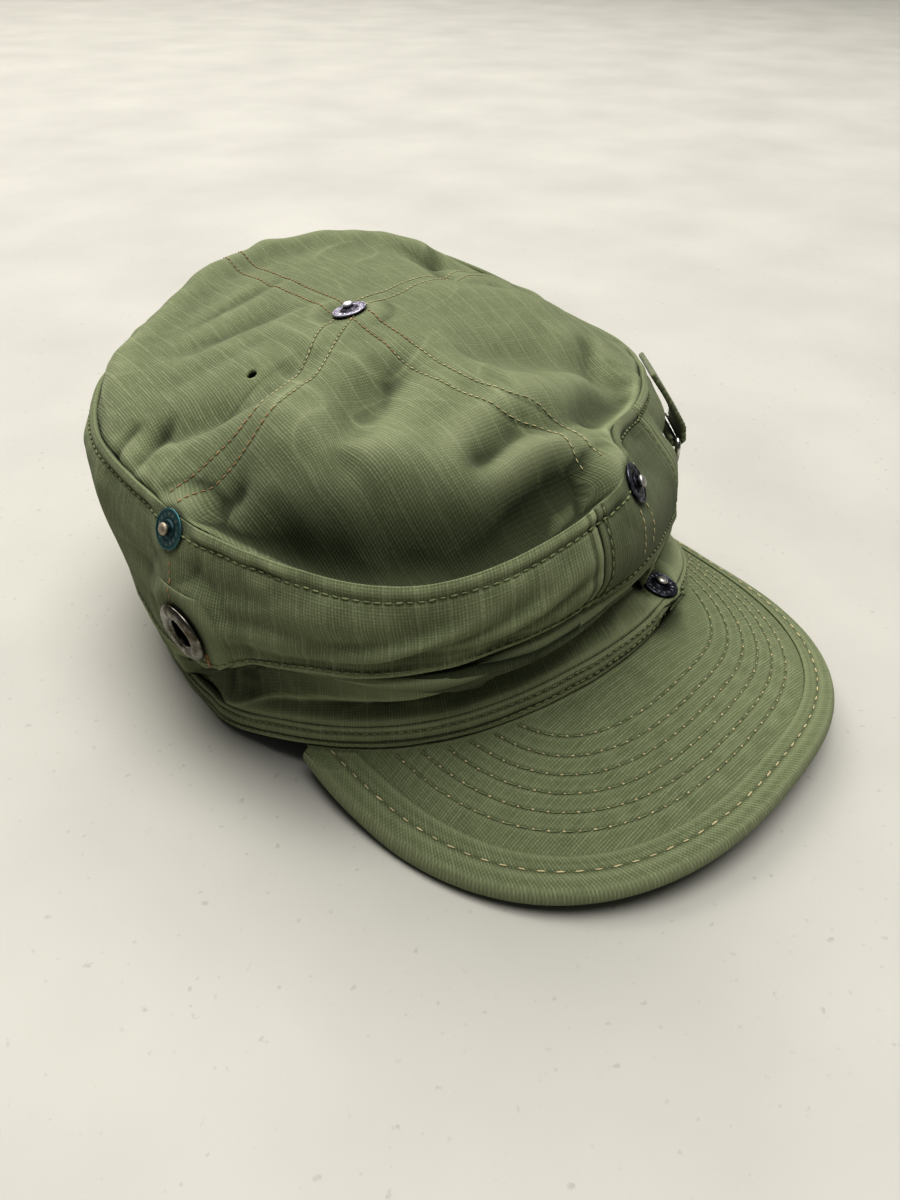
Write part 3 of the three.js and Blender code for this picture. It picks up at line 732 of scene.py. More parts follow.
def wall_piece(settings, node, start, end):
    """Side or front panel between the crown seam and the lower seam."""
    half_gap = math.degrees(GAP / 2 / 90)  # the seams stand about 90 mm from the head centre
    span = start + half_gap, end - half_gap
    angle, along, points, down, up = wall_grid(*span, CROWN_SEAM, LOWER_SEAM, PANEL_SPACING)
    to_side = np.minimum(angle - start, end - angle) * math.radians(1) * WALL_RADIUS
    lumps = noise(points, 9, 21)
    fade = 1 - 0.5 * bell(down, 5)
    relief = settings.wrinkle * crumple(points) * fade
    relief -= settings.wrinkle * wall_folds(angle, along)
    groove = settings.stitch_groove / MM
    ridge = settings.seam_ridge / MM * (1 + 0.4 * lumps)
    relief += ridge * bell(down - 1.6, 1.7)
    relief -= groove * (0.8 + 0.5 * lumps) * bell(down - 3.6, 0.8)
    relief += noise(points, 6, 23) * bell(down - 6, 5) * 0.45
    relief -= groove * bell(up - SEAM_ROW, 0.8)
    relief = relief + 0.9 * bell(up - 1.2, 1.8) - 0.7 * bell(up, 0.5)
    relief -= overhang(angle) * np.clip(1 - up / 20, 0, 1) ** 1.6
    relief -= 0.5 * bell(to_side, 0.7)
    relief -= groove * bell(to_side - SEAM_ROW, 0.8)
    ends = [
        (bell(down, SEAM_MITRE), seam_normal(angle, CROWN_SEAM)),
        (bell(up, SEAM_MITRE), seam_normal(angle, LOWER_SEAM)),
    ]
    cloth, under = cloth_faces(points, relief, False, ends)
    uv = around_uv(angle, down)
    hole = None
    if node.startswith("side"):
        centre, normal, _radius = HARDWARE["eyelet_" + node.split("_")[2]]
        hole = nearest_cell(cloth, centre)
        cloth = ring_hole(cloth, hole, centre, normal, EYELET_HOLE)
        under = ring_hole(under, hole, centre - normal * CLOTH, normal, EYELET_HOLE)
    worn = wear_and_shade_of(cloth, False)
    if node == "front_panel":
        # Painted shade: the front panel is darkened beyond its neighbours
        worn["shade"] = np.clip(worn["shade"] + FRONT_PAINTED_SHADE, 0, 1)
    piece = shell(node + "_cloth", cloth, under, uv, hole=hole, worn=worn)
    finish_piece(piece, cloth_material(settings), [node])


def nearest_cell(points, centre):
    """Even indices of the grid point nearest to a place."""
    away = np.linalg.norm(points[::2, ::2] - centre, axis=-1)
    i, j = np.unravel_index(np.argmin(away), away.shape)
    return 2 * i, 2 * j


def ring_hole(points, middle, centre, normal, radius):
    """Spreads the grid to a round opening with a given radius about its removed middle."""
    moved = points.copy()
    reach = 26
    i0, j0 = middle
    for i in range(i0 - reach, i0 + reach + 1):
        for j in range(max(j0 - reach, 0), min(j0 + reach, points.shape[1] - 1) + 1):
            ring = max(abs(i - i0), abs(j - j0))
            if ring < 2 or ring > reach:
                continue
            away = points[i, j] - centre
            height = away @ normal
            flat = away - height * normal
            distance = np.linalg.norm(flat)
            if distance > HOLE_SPREAD * radius:
                continue
            wanted = radius + distance * (HOLE_SPREAD - 1) / HOLE_SPREAD
            moved[i, j] = centre + flat / max(distance, 1e-6) * wanted + height * normal
    return moved


def lower_wall(settings):
    """The tucked wall under the overhang, from the lower seam to the band."""
    span = SEAM_RIGHT, SEAM_RIGHT + 360
    angle, along, points, down, up = wall_grid(*span, LOWER_SEAM, BAND_SEAM, LOWER_SPACING, True)
    relief = settings.wrinkle * 0.8 * crumple(points) * (1 - bell(down, 3)) * (1 - bell(up, 3))
    relief -= settings.wrinkle * wall_folds(angle, along)
    side = signed(angle)
    under_lip = np.clip((side + 94) / 16, 0, 1) * np.clip((4 - side) / 14, 0, 1)
    under_lip = under_lip * (1 - 0.5 * np.clip((side + 44) / 20, 0, 1))
    relief = relief - 0.8 * bell(down, 1.2) - 0.5 * bell(up, 0.9)
    hollow = np.clip((down - 0.6) / 3, 0, 1) * np.clip((20 - down) / 10, 0, 1)
    relief -= TUCK_SINK * under_lip * hollow
    relief -= overhang(angle) * np.clip(1 - down / 2.5, 0, 1)
    ends = [
        (bell(down, SEAM_MITRE), seam_normal(angle, LOWER_SEAM)),
        (bell(up, SEAM_MITRE), seam_normal(angle, BAND_SEAM)),
    ]
    cloth, under = cloth_faces(points, relief, True, ends)
    uv = around_uv(angle, down)
    turn = 2 * math.pi * WALL_RADIUS
    worn = wear_and_shade_of(cloth, True)
    # Painted shade: the cloth tucked in under the overhang is darkened too
    worn["shade"] = np.clip(worn["shade"] + under_lip * hollow, 0, 1)
    piece = shell("lower_wall_cloth", cloth, under, uv, wrap=True, turn=turn, worn=worn)
    finish_piece(piece, cloth_material(settings), ["lower_wall"])


def rim_band(settings):
    """Stitched band at the rim, padded between its two rows of stitches."""
    span = SEAM_RIGHT, SEAM_RIGHT + 360
    angle, _along, points, down, up = wall_grid(*span, BAND_SEAM, RIM, BAND_SPACING, True)
    groove = settings.stitch_groove / MM
    relief = 0.35 * noise(points, 7, 31) * settings.wrinkle
    for row in BAND_ROWS:
        relief -= groove * bell(down - row, 0.7)
    relief = relief - 0.5 * bell(down, 0.7) - 0.6 * bell(up, 0.6)
    base = grid_normals(points, True)
    cloth = pressed(points + base * np.minimum(relief, 0.5)[..., None])
    normals = grid_normals(cloth, True)
    level = normals.copy()
    level[..., 2] = 0
    ends = [(bell(down, 2.0), seam_normal(angle, BAND_SEAM)), (bell(up, 2.0), unit(level))]
    under = inner_points(cloth, normals, CLOTH, ends)
    cloth[..., 2] = np.maximum(cloth[..., 2], 0)
    under[..., 2] = np.maximum(under[..., 2], 0)
    uv = around_uv(angle, down)
    turn = 2 * math.pi * WALL_RADIUS
    piece = shell("rim_band_cloth", cloth, under, uv, wrap=True, turn=turn, worn=wear_and_shade_of(cloth, True, 2))
    finish_piece(piece, cloth_material(settings), ["rim_band"])


# Peak


def outline_radius(angle):
    """Distance from the head centre to the peak's outline, found by halving."""
    angle = np.asarray(angle, float)
    right = angle < 0
    width, power, taper = (np.where(right, r, l) for r, l in zip(*PEAK_SIDES.values()))
    low = np.zeros(angle.shape)
    high = np.full(angle.shape, PEAK_REACH - 2 * PEAK_CENTRE_Y)
    for _ in range(40):
        radius = (low + high) / 2
        point = polar(angle, radius, 0.0)
        share = (PEAK_CENTRE_Y - point[..., 1]) / PEAK_REACH
        across = np.abs(point[..., 0]) / (width * (1 - taper * np.maximum(share, 0)))
        outside = across**power + np.abs(share) ** power > 1
        high = np.where(outside, radius, high)
        low = np.where(outside, low, radius)
    return low


def peak_point(plan):
    """Middle surface of the peak over places in plan."""
    angle = angle_at(plan[..., 0], plan[..., 1])
    s = section_at(angle)
    reach = outline_radius(angle)
    seat = s["rim_z"] - GAP - PEAK_THICK / 2
    across = reach * np.sin(np.radians(angle)) / PEAK_SIDES["right"][0]
    arched = EDGE_Z_SIDE + EDGE_Z_RISE * (1 - across**2)
    near = np.clip(1 - (reach - s["rim_r"]) / EDGE_BLEND, 0, 1) ** 2
    edge = arched + (seat - arched) * near
    distance = np.hypot(plan[..., 0], plan[..., 1])
    share = np.clip((distance - s["rim_r"]) / (reach - s["rim_r"]), 0, 1)
    return np.stack([plan[..., 0], plan[..., 1], seat + (edge - seat) * share], -1)


def outline_at(angle):
    """Places on the peak's outline and the direction inwards from them."""
    edge = polar(angle, outline_radius(angle), 0.0)
    before = polar(angle - 0.5, outline_radius(angle - 0.5), 0.0)
    after = polar(angle + 0.5, outline_radius(angle + 0.5), 0.0)
    inward = unit(np.stack([before[..., 1] - after[..., 1], after[..., 0] - before[..., 0]], -1))
    facing = np.sign(-(inward * edge[..., :2]).sum(-1))
    return edge[..., :2], inward * facing[..., None]


def peak_line(offset):
    """A line on the peak at a distance from its outline, cut off where the rim covers it."""
    edge, inward = outline_at(np.linspace(-PEAK_HALF_ANGLE, PEAK_HALF_ANGLE, 400))
    plan = edge + inward * offset
    angle = angle_at(*plan.T)
    free = np.hypot(*plan.T) > section_at(angle)["rim_r"] + 1.2
    return plan[free]


def peak_cloth(settings):
    """Stiffened peak: cloth over a board, drawn down along its six rows of stitches."""
    angles = np.linspace(-PEAK_HALF_ANGLE, PEAK_HALF_ANGLE, settings.peak_columns * 2 + 1)
    inside = polar(angles, section_at(angles)["rim_r"] - CLOTH + 0.1, 0.0)[:, :2]
    edge, inward = outline_at(angles)
    outside = edge + inward * (BINDING_WALL + 3 * GAP)
    share = np.linspace(0, 1, 91)[None, :, None]
    plan = inside[:, None] * (1 - share) + outside[:, None] * share
    middle = peak_point(plan)
    x, y = plan[..., 0], plan[..., 1]
    to_row = np.minimum.reduce([distance_to_line(x, y, peak_line(row)[::6]) for row in PEAK_ROWS])
    to_edge = distance_to_line(x, y, edge)
    groove = settings.stitch_groove / MM
    free = np.clip((to_edge - BINDING_WIDTH) / 3, 0, 1)
    relief = -groove * 0.4 * bell(to_row, 0.6) + 0.14 * noise(middle, 12, 41)
    relief += 0.12 * noise(middle, 5, 43)
    top = middle + np.array([0, 0, PEAK_THICK / 2])
    top[..., 2] += relief * free
    bottom = middle - np.array([0, 0, PEAK_THICK / 2])
    bottom[..., 2] += 0.12 * noise(middle, 9, 45) * free
    uv = np.stack([y + 0.09 * x, x - 0.09 * y], -1)
    worn = wear_and_shade_of(top, False, 2, 2.2)
    piece = shell("peak_cloth", top, bottom, uv, worn=worn)
    finish_piece(piece, cloth_material(settings, "peak"), ["peak"])


def binding_widths(edge, inward):
    """Width of the strip at each place on the edge, cut short where the rim crosses it."""
    widths = np.full(len(edge), BINDING_WIDTH)
    step = 0.25
    while True:
        plan = edge + inward * widths[:, None]
        angle = angle_at(*plan.T)
        covered = np.hypot(*plan.T) <= section_at(angle)["rim_r"] + 2 * GAP
        covered &= widths > step
        if not covered.any():
            return widths
        widths = np.where(covered, widths - step, widths)


def peak_binding(settings):
    """Bias strip folded round the peak's edge, with a soft turned-in lip."""
    angles = np.linspace(-PEAK_HALF_ANGLE, PEAK_HALF_ANGLE, settings.peak_columns * 3 + 1)
    edge, inward = outline_at(angles)
    widths = binding_widths(edge, inward)
    groove = settings.stitch_groove / MM
    half = PEAK_THICK / 2 + 0.08
    rounding = 1.9
    faces = []
    for wall in (BINDING_WALL, 0.0):
        outer = half + (GAP + wall if wall else 0)
        inset = BINDING_WALL - wall
        turns = np.radians(np.linspace(90, -90, 15))
        bend_depth = inset + (rounding - inset) * (1 - np.cos(turns))
        bend_height = outer * np.sin(turns)
        flat = np.linspace(1, 0, 13)[:-1]
        columns = []
        for width in widths:
            start = min(rounding, width * 0.6)
            scale = start / rounding
            above = start + (width - start) * flat
            depth = np.concatenate([above, bend_depth * scale, above[::-1]])
            height = np.concatenate([flat * 0 + outer, bend_height, flat * 0 - outer])
            columns.append((depth, height))
        depth = np.array([c[0] for c in columns])
        height = np.array([c[1] for c in columns])
        plan = edge[:, None] + inward[:, None] * depth[..., None]
        middle = peak_point(plan)
        if wall:
            side = np.sign(height)
            thin = 0.62 * np.clip((depth - widths[:, None] + 5.5) / 5.5, 0, 1)
            seam = bell(depth - BINDING_ROW, 0.7)
            lip = bell(depth - widths[:, None] + 0.8, 0.8)
            relief = 0.16 * lip - groove * 0.5 * seam + 0.08 * noise(middle, 5, 47)
            flat_part = np.abs(height) > outer * 0.8
            height = height + side * (relief - thin * (outer - half)) * flat_part
        # The floor flattens the edge that rests on it
        middle[..., 2] = np.maximum(middle[..., 2] + height, 0)
        faces.append(middle)
    skin, lining = faces
    arc = np.concatenate([[0], np.cumsum(np.linalg.norm(np.diff(edge, axis=0), axis=1))])
    uv = np.stack([np.broadcast_to(arc[:, None], depth.shape), depth], -1)
    turned = np.stack([uv[..., 0] + uv[..., 1], uv[..., 1] - uv[..., 0]], -1) * math.sqrt(0.5)
    piece = shell("peak_binding_tape", skin, lining, turned, worn=wear_and_shade_of(skin, False, 2, 2.0))
    finish_piece(piece, cloth_material(settings, "bias"), ["peak_binding"])


# Metal and webbing


def facing(normal):
    """Two directions in the plane of a disc."""
    across = [0.0, 0.0, 1.0] if abs(normal[2]) < 0.95 else [0.0, 1.0, 0.0]
    side = unit(np.cross(normal, across))
    return side, np.cross(normal, side)


def turned_piece(name, profile, recess_shade, centre, normal, lift, segments, closed, dents=None):
    """A lathed body on the cloth. Its recess values say how much painted shade each profile point gets.
    """
    profile = np.asarray(profile, float)
    turns = np.radians(np.arange(segments) * 360 / segments)
    radius, height = profile[:, 0], profile[:, 1]
    grid_r = np.broadcast_to(radius, (segments, len(profile))).copy()
    grid_z = np.broadcast_to(height, (segments, len(profile))).copy()
    if dents is not None:
        grid_z = grid_z + dents(turns[:, None], grid_r)
    side, up = facing(normal)
    spoke = np.cos(turns)[:, None] * side + np.sin(turns)[:, None] * up
    points = centre + (grid_z + lift)[..., None] * normal + grid_r[..., None] * spoke[:, None]
    count = len(profile)
    ids = np.arange(segments * count).reshape(segments, count)
    around = np.concatenate([ids, ids[:1]])
    values = {"recess_shade": np.broadcast_to(np.asarray(recess_shade, float), (segments, count)).ravel()}
    dome = (height > 1.5) & (radius < 1.8)
    values["rubbed"] = np.maximum(dome, np.clip((grid_z - height) * 2.8, 0, 0.8)).ravel()
    points = points.reshape(-1, 3)
    if closed:
        around = np.concatenate([around, around[:, :1]], 1)
        faces = corners(around).tolist()
    else:
        faces = corners(around[:, 1:-1]).tolist()
        for end, first, step in ((1, ids[0, 0], 1), (count - 2, ids[0, -1], -1)):
            loop = list(ids[:, end])
            for k in range(segments):
                pair = [loop[k], loop[(k + 1) % segments]]
                faces.append([first, *(pair[::-1] if step > 0 else pair)])
    return mesh_piece(name, points, faces, None, values)


STUD_PROFILE = [  # radius, height, painted shade
    (0, 0, 1), (2.5, 0, 1), (5.0, 0, 1), (5.2, 0.12, 0.6), (5.32, 0.35, 0.1), (5.24, 0.58, 0),
    (5.02, 0.7, 0), (4.8, 0.68, 0.1), (4.62, 0.56, 0.6), (4.42, 0.54, 0.3), (4.2, 0.55, 0.2),
    (3.95, 0.56, 0.2), (3.7, 0.57, 0.2), (3.45, 0.57, 0.2), (3.2, 0.57, 0.2), (2.95, 0.55, 0.5),
    (2.72, 0.55, 0.95), (2.55, 0.62, 0.7), (2.42, 0.8, 0.5), (2.3, 0.98, 0.6), (2.12, 1.1, 0.7),
    (1.75, 1.18, 0.95), (1.42, 1.28, 1), (1.32, 1.42, 0.9), (1.42, 1.62, 0.4), (1.6, 1.82, 0.1),
    (1.64, 2.04, 0), (1.5, 2.32, 0), (1.18, 2.54, 0), (0.75, 2.68, 0), (0.35, 2.74, 0),
    (0, 2.75, 0),
]


def studs(settings):
    """Snap studs with a rolled edge, a ring of pips and a ball in the middle."""
    pips = settings.stud_pips

    def raised(turn, radius):
        shape = np.clip(np.cos(turn * pips), 0, 1) ** 1.5 * bell(radius - 3.7, 0.42)
        worn = 0.75 + 0.25 * np.sin(turn * 3 + 1)
        return 0.26 * shape * worn

    radius, height, shade = zip(*STUD_PROFILE)
    for name, (_angle, _along, _lean, finish) in STUDS.items():
        centre, normal, _size = HARDWARE["stud_" + name]
        piece = turned_piece(
            "stud_" + name + "_turned", list(zip(radius, height)), shade, centre, normal,
            STUD_LIFT, pips * 8, False, raised,
        )
        material = stud_material(settings, finish)
        finish_piece(piece, material, ["stud_" + name])


def eyelets(settings):
    """Domed flange, rolled lip and open barrel of each eyelet, a little dented."""
    # Columns: radius, height, painted shade
    profile = [
        (EYELET_BARREL - 0.25, -3.0, 1), (EYELET_BARREL, -2.8, 1), (EYELET_BARREL, 0.2, 1),
        (6.5, 0.15, 1), (8.3, 0.15, 1), (8.62, 0.3, 0.5), (8.7, 0.6, 0.1), (8.58, 0.95, 0),
        (8.25, 1.3, 0), (7.8, 1.62, 0), (7.3, 1.86, 0), (6.8, 2.0, 0), (6.3, 2.05, 0),
        (5.8, 2.0, 0), (5.35, 1.86, 0.05), (5.0, 1.68, 0.2), (4.75, 1.45, 0.45),
        (4.55, 1.3, 0.35), (4.38, 1.28, 0.1), (4.18, 1.2, 0), (4.06, 1.0, 0.1), (4.0, 0.6, 0.4),
        (4.0, -1.0, 0.8), (4.02, -2.8, 1), (4.3, -3.0, 1),
    ]

    def dented(turn, radius):
        place = np.stack(np.broadcast_arrays(radius * np.cos(turn), radius * np.sin(turn), 0), -1)
        return 0.1 * noise(place, 3.2, 51) * (radius > EYELET_BARREL)

    radius, height, shade = zip(*profile)
    for name in EYELETS:
        centre, normal, _size = HARDWARE["eyelet_" + name]
        piece = turned_piece(
            "eyelet_" + name + "_rolled", list(zip(radius, height)), shade, centre, normal,
            STUD_LIFT, 96, True, dented,
        )
        finish_piece(piece, eyelet_material(settings), ["eyelet_" + name])


def strap_axes():
    """Foot, outward, upward and sideways directions of the strap's frame on the wall."""
    middle = cap_point(STRAP_ANGLE, 2)
    out = seam_normal(STRAP_ANGLE, 2)
    out[2] = 0
    out = unit(out)
    foot = middle * np.array([1, 1, 0])
    up = np.array([0, 0, 1.0])
    return foot, out, up, np.cross(out, up)


def swept_piece(name, rings, looped=False):
    """A closed tube through rings of points: flat at its ends, or joined to a loop."""
    ids = np.arange(rings.shape[0] * rings.shape[1]).reshape(rings.shape[:2])
    if looped:
        ids = np.concatenate([ids, ids[:1]])
    faces = corners(np.concatenate([ids, ids[:, :1]], 1)).tolist()
    if not looped:
        faces += [ids[0].tolist(), ids[-1, ::-1].tolist()]
    return mesh_piece(name, rings.reshape(-1, 3), faces)


def strap(settings):
    """Webbing tab with its ribs, folded up round the bar of a wire ring."""
    foot, out, up, side = strap_axes()
    route = [(-5.6, 75.5), (-1.8, 70.5), (2, 65.3), (5.2, 60.5), (7.6, 56.6)]
    for turn in np.radians(np.linspace(25, -200, 16)):
        x = STRAP_LOOP["out"] + STRAP_LOOP["radius"] * math.cos(turn)
        route.append((x, STRAP_LOOP["z"] + STRAP_LOOP["radius"] * math.sin(turn)))
    line = smooth_line(route, 0.3)
    steps = np.concatenate([[0], np.cumsum(np.linalg.norm(np.diff(line, axis=0), axis=1))])
    even = np.linspace(0, steps[-1], round(steps[-1] / 0.28))
    line = np.stack([np.interp(even, steps, line[:, k]) for k in (0, 1)], -1)
    along = unit(np.gradient(line, axis=0))
    face = np.stack([-along[:, 1], along[:, 0]], -1)
    cells = 48
    width = np.linspace(-1, 1, cells + 1) * (STRAP_WIDTH / 2 - 0.5)
    edge = np.radians(np.linspace(90, -90, 7)[1:-1])
    half = STRAP_THICK / 2
    bulge, rise = 0.5 * np.cos(edge), half * np.sin(edge)
    around_w = np.concatenate([width, width[-1] + bulge, width[::-1], width[0] - bulge])
    around_h = np.concatenate([width * 0 + half, rise, width * 0 - half, -rise])
    s = even[:, None]
    weave = np.cos(2 * math.pi * s / 1.5) * np.cos(2 * math.pi * around_w / 1.3)
    ragged = 0.3 * np.sin(s * 2.1) * np.sin(s * 0.7) * (np.abs(around_w) > STRAP_WIDTH / 2 - 0.6)
    h = around_h * (1 + 0.16 * weave) - 0.08
    w = around_w + ragged * np.sign(around_w)
    section = line[:, None] + face[:, None] * h[..., None]
    points = foot + section[..., :1] * out + section[..., 1:] * up + w[..., None] * side
    piece = swept_piece("strap_tab_webbing", points)
    finish_piece(piece, webbing_material(settings), ["strap_tab"])

    corner_list = [(1, 1, 0), (-1, 1, 90), (-1, -1, 180), (1, -1, 270)]
    rings = []
    for side_sign, up_sign, start in corner_list:
        for turn in np.radians(np.linspace(start, start + 90, 9)):
            across = side_sign * (RING_HALF_WIDTH - RING_CORNER) + RING_CORNER * math.cos(turn)
            rise = up_sign * (RING_HALF_HEIGHT - RING_CORNER) + RING_CORNER * math.sin(turn)
            roll = np.radians(np.arange(18) * 20)
            reach = RING_WIRE * np.cos(roll)
            w = across + reach * math.cos(turn)
            z = rise + reach * math.sin(turn) + STRAP_LOOP["z"] - RING_HALF_HEIGHT
            o = RING_WIRE * np.sin(roll) + STRAP_LOOP["out"]
            rings.append(foot + o[:, None] * out + z[:, None] * up + w[:, None] * side)
    ring = swept_piece("strap_ring_wire", np.array(rings), looped=True)
    finish_piece(ring, ring_material(), ["strap_ring"])


# Nodes


def set_inputs(node, inputs):
    """Sets or links sockets of a node. A node given as a value stands for its first output."""
    for key, value in dict(inputs).items():
        if isinstance(value, bpy.types.Node):
            value = value.outputs[0]
        if isinstance(value, bpy.types.NodeSocket):
            node.id_data.links.new(value, node.inputs[key])
        else:
            node.inputs[key].default_value = value


def add_node(tree, kind, inputs=(), **settings):
    """Adds a node with its settings, values and links."""
    made = tree.nodes.new(kind)
    for name, value in settings.items():
        setattr(made, name, value)
    set_inputs(made, inputs)
    return made


# Stitches


def stitch_tree():
    """Lays short plump threads end to end on lines that know which way the cloth faces."""
    tree = bpy.data.node_groups.new("Stitch rows", "GeometryNodeTree")
    tree.is_modifier = True
    sockets = tree.interface
    sockets.new_socket("Lines", in_out="INPUT", socket_type="NodeSocketGeometry")
    for name in ("Pitch", "Length", "Thread", "Turn"):
        sockets.new_socket(name, in_out="INPUT", socket_type="NodeSocketFloat")
    sockets.new_socket("Seed", in_out="INPUT", socket_type="NodeSocketInt")
    sockets.new_socket("Material", in_out="INPUT", socket_type="NodeSocketMaterial")
    sockets.new_socket("Stitches", in_out="OUTPUT", socket_type="NodeSocketGeometry")
    add = partial(add_node, tree)
    given = add("NodeGroupInput").outputs
    curve = add("GeometryNodeMeshToCurve", {"Mesh": given["Lines"]})
    spaced = add("GeometryNodeResampleCurve", {"Curve": curve, "Length": given["Pitch"]}, mode="LENGTH")
    tangent = add("GeometryNodeInputTangent")
    facing_up = add("GeometryNodeInputNamedAttribute", {"Name": "up"}, data_type="FLOAT_VECTOR")
    lengthwise = add("FunctionNodeAlignRotationToVector", {"Vector": tangent}, axis="X")
    upright = add(
        "FunctionNodeAlignRotationToVector",
        {"Rotation": lengthwise, "Vector": facing_up},
        axis="Z",
        pivot_axis="X",
    )
    jitter = add("FunctionNodeRandomValue", {2: -0.1, 3: 0.1, "Seed": given["Seed"]}, data_type="FLOAT")
    turn = add("ShaderNodeMath", {0: jitter.outputs[1], 1: given["Turn"]}, operation="ADD")
    spin = add("FunctionNodeAxisAngleToRotation", {"Axis": (0, 0, 1), "Angle": turn})
    rotation = add(
        "FunctionNodeRotateRotation",
        {"Rotation": upright, "Rotate By": spin},
        rotation_space="LOCAL",
    )
    size = add("FunctionNodeRandomValue", {2: 0.8, 3: 1.1, "Seed": given["Seed"]}, data_type="FLOAT")
    scale = add("ShaderNodeCombineXYZ", {0: given["Length"], 1: given["Thread"], 2: given["Thread"]})
    varied = add("ShaderNodeVectorMath", {0: scale, "Scale": size.outputs[1]}, operation="SCALE")
    thread = add("GeometryNodeMeshUVSphere", {"Segments": 6, "Rings": 5, "Radius": 0.5})
    smooth = add("GeometryNodeSetShadeSmooth", {"Geometry": thread})
    placed = add(
        "GeometryNodeInstanceOnPoints",
        {
            "Points": spaced,
            "Instance": smooth,
            "Rotation": rotation,
            "Scale": varied,
        },
    )
    real = add("GeometryNodeRealizeInstances", {0: placed})
    painted = add("GeometryNodeSetMaterial", {"Geometry": real, "Material": given["Material"]})
    add("NodeGroupOutput", {0: painted})
    return tree


LEVEL_PIECES = {"crown_top_cloth", "peak_cloth", "peak_binding_tape"}
SNAP_REACH = 14.0
FLOOR_CLEAR = 0.4  # no stitch line comes nearer to the floor than this


def snapped(points, pieces, lift):
    """Drops points onto the cloth from outside and gives the direction that it faces there."""
    depsgraph = bpy.context.evaluated_depsgraph_get()
    trees = [BVHTree.FromObject(bpy.data.objects[name], depsgraph) for name in pieces]
    placed, ups = [], []
    for point in points:
        level = pieces[0] in LEVEL_PIECES
        outward = Vector((0, 0, 1) if level else (*point[:2], 0)).normalized()
        place = Vector((point + HEAD_CENTRE) * MM)
        start = place + outward * SNAP_REACH * MM
        hits = [tree.ray_cast(start, -outward, 2.5 * SNAP_REACH * MM) for tree in trees]
        hits = [hit for hit in hits if hit[0]] or [tree.find_nearest(place) for tree in trees]
        location, normal, _index, _distance = min(hits, key=lambda hit: hit[3])
        on_cloth = location + normal * lift * MM
        on_cloth.z = max(on_cloth.z, FLOOR_CLEAR * MM)
        placed.append(on_cloth)
        ups.append(normal)
    return placed, ups


def stitch_rows(name, lines, material, pitch, length, thread, turn=0.0, lift=0.18):
    """Turns lines on the cloth into one mesh of stitches. A line is points and piece names."""
    places, edges, ups = [], [], []
    for points, pieces in lines:
        placed, facing_up = snapped(points, pieces, lift)
        first = len(places)
        places += placed
        ups += facing_up
        edges += [(first + k, first + k + 1) for k in range(len(placed) - 1)]
    mesh = bpy.data.meshes.new(name + "_lines")
    mesh.from_pydata(places, edges, [])
    attribute = mesh.attributes.new("up", "FLOAT_VECTOR", "POINT")
    attribute.data.foreach_set("vector", np.array(ups, np.float32).ravel())
    carrier = linked(name + "_lines", mesh)
    tree = bpy.data.node_groups.get("Stitch rows") or stitch_tree()
    modifier = carrier.modifiers.new("Stitches", "NODES")
    modifier.node_group = tree
    wanted = {
        "Pitch": pitch * MM, "Length": length * MM, "Thread": thread * MM,
        "Turn": turn, "Seed": 7, "Material": material,
    }
    for item in tree.interface.items_tree:
        if item.in_out == "INPUT" and item.name in wanted:
            modifier[item.identifier] = wanted[item.name]
    depsgraph = bpy.context.evaluated_depsgraph_get()
    made = bpy.data.meshes.new_from_object(carrier.evaluated_get(depsgraph))
    made.name = name
    bpy.data.objects.remove(carrier)
    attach(linked(name, made), "root")


def around_head(along, distance, first=-182.5, last=177.5):
    """Points on the wall at a distance from one of its seams."""
    angle = np.linspace(first, last, int((last - first) * 1.4))
    return cap_point(angle, step_along(angle, along, distance))


def on_top(route, side, first=0.0, last=1.0):
    """Part of a line on the top panel, moved sideways."""
    line = beside(smooth_line(route, 1.0), side)
    line = line[int(first * len(line)) : int(last * len(line))]
    angle = angle_at(*line.T)
    s = section_at(angle)
    share = np.hypot(*line.T) / (s["rim_r"] + s["crown_out"])
    inside = share < 0.985
    return cap_point(angle[inside], share[inside])


def down_wall(angle, first, last, sideways=0.0):
    """A line down the wall, moved sideways in millimetres."""
    along = np.linspace(first, last, 60)
    angle = angle + math.degrees(1 / 95) * sideways
    return cap_point(np.full(60, angle), along)


SIDES = ["side_panel_right_cloth", "side_panel_left_cloth", "front_panel_cloth"]


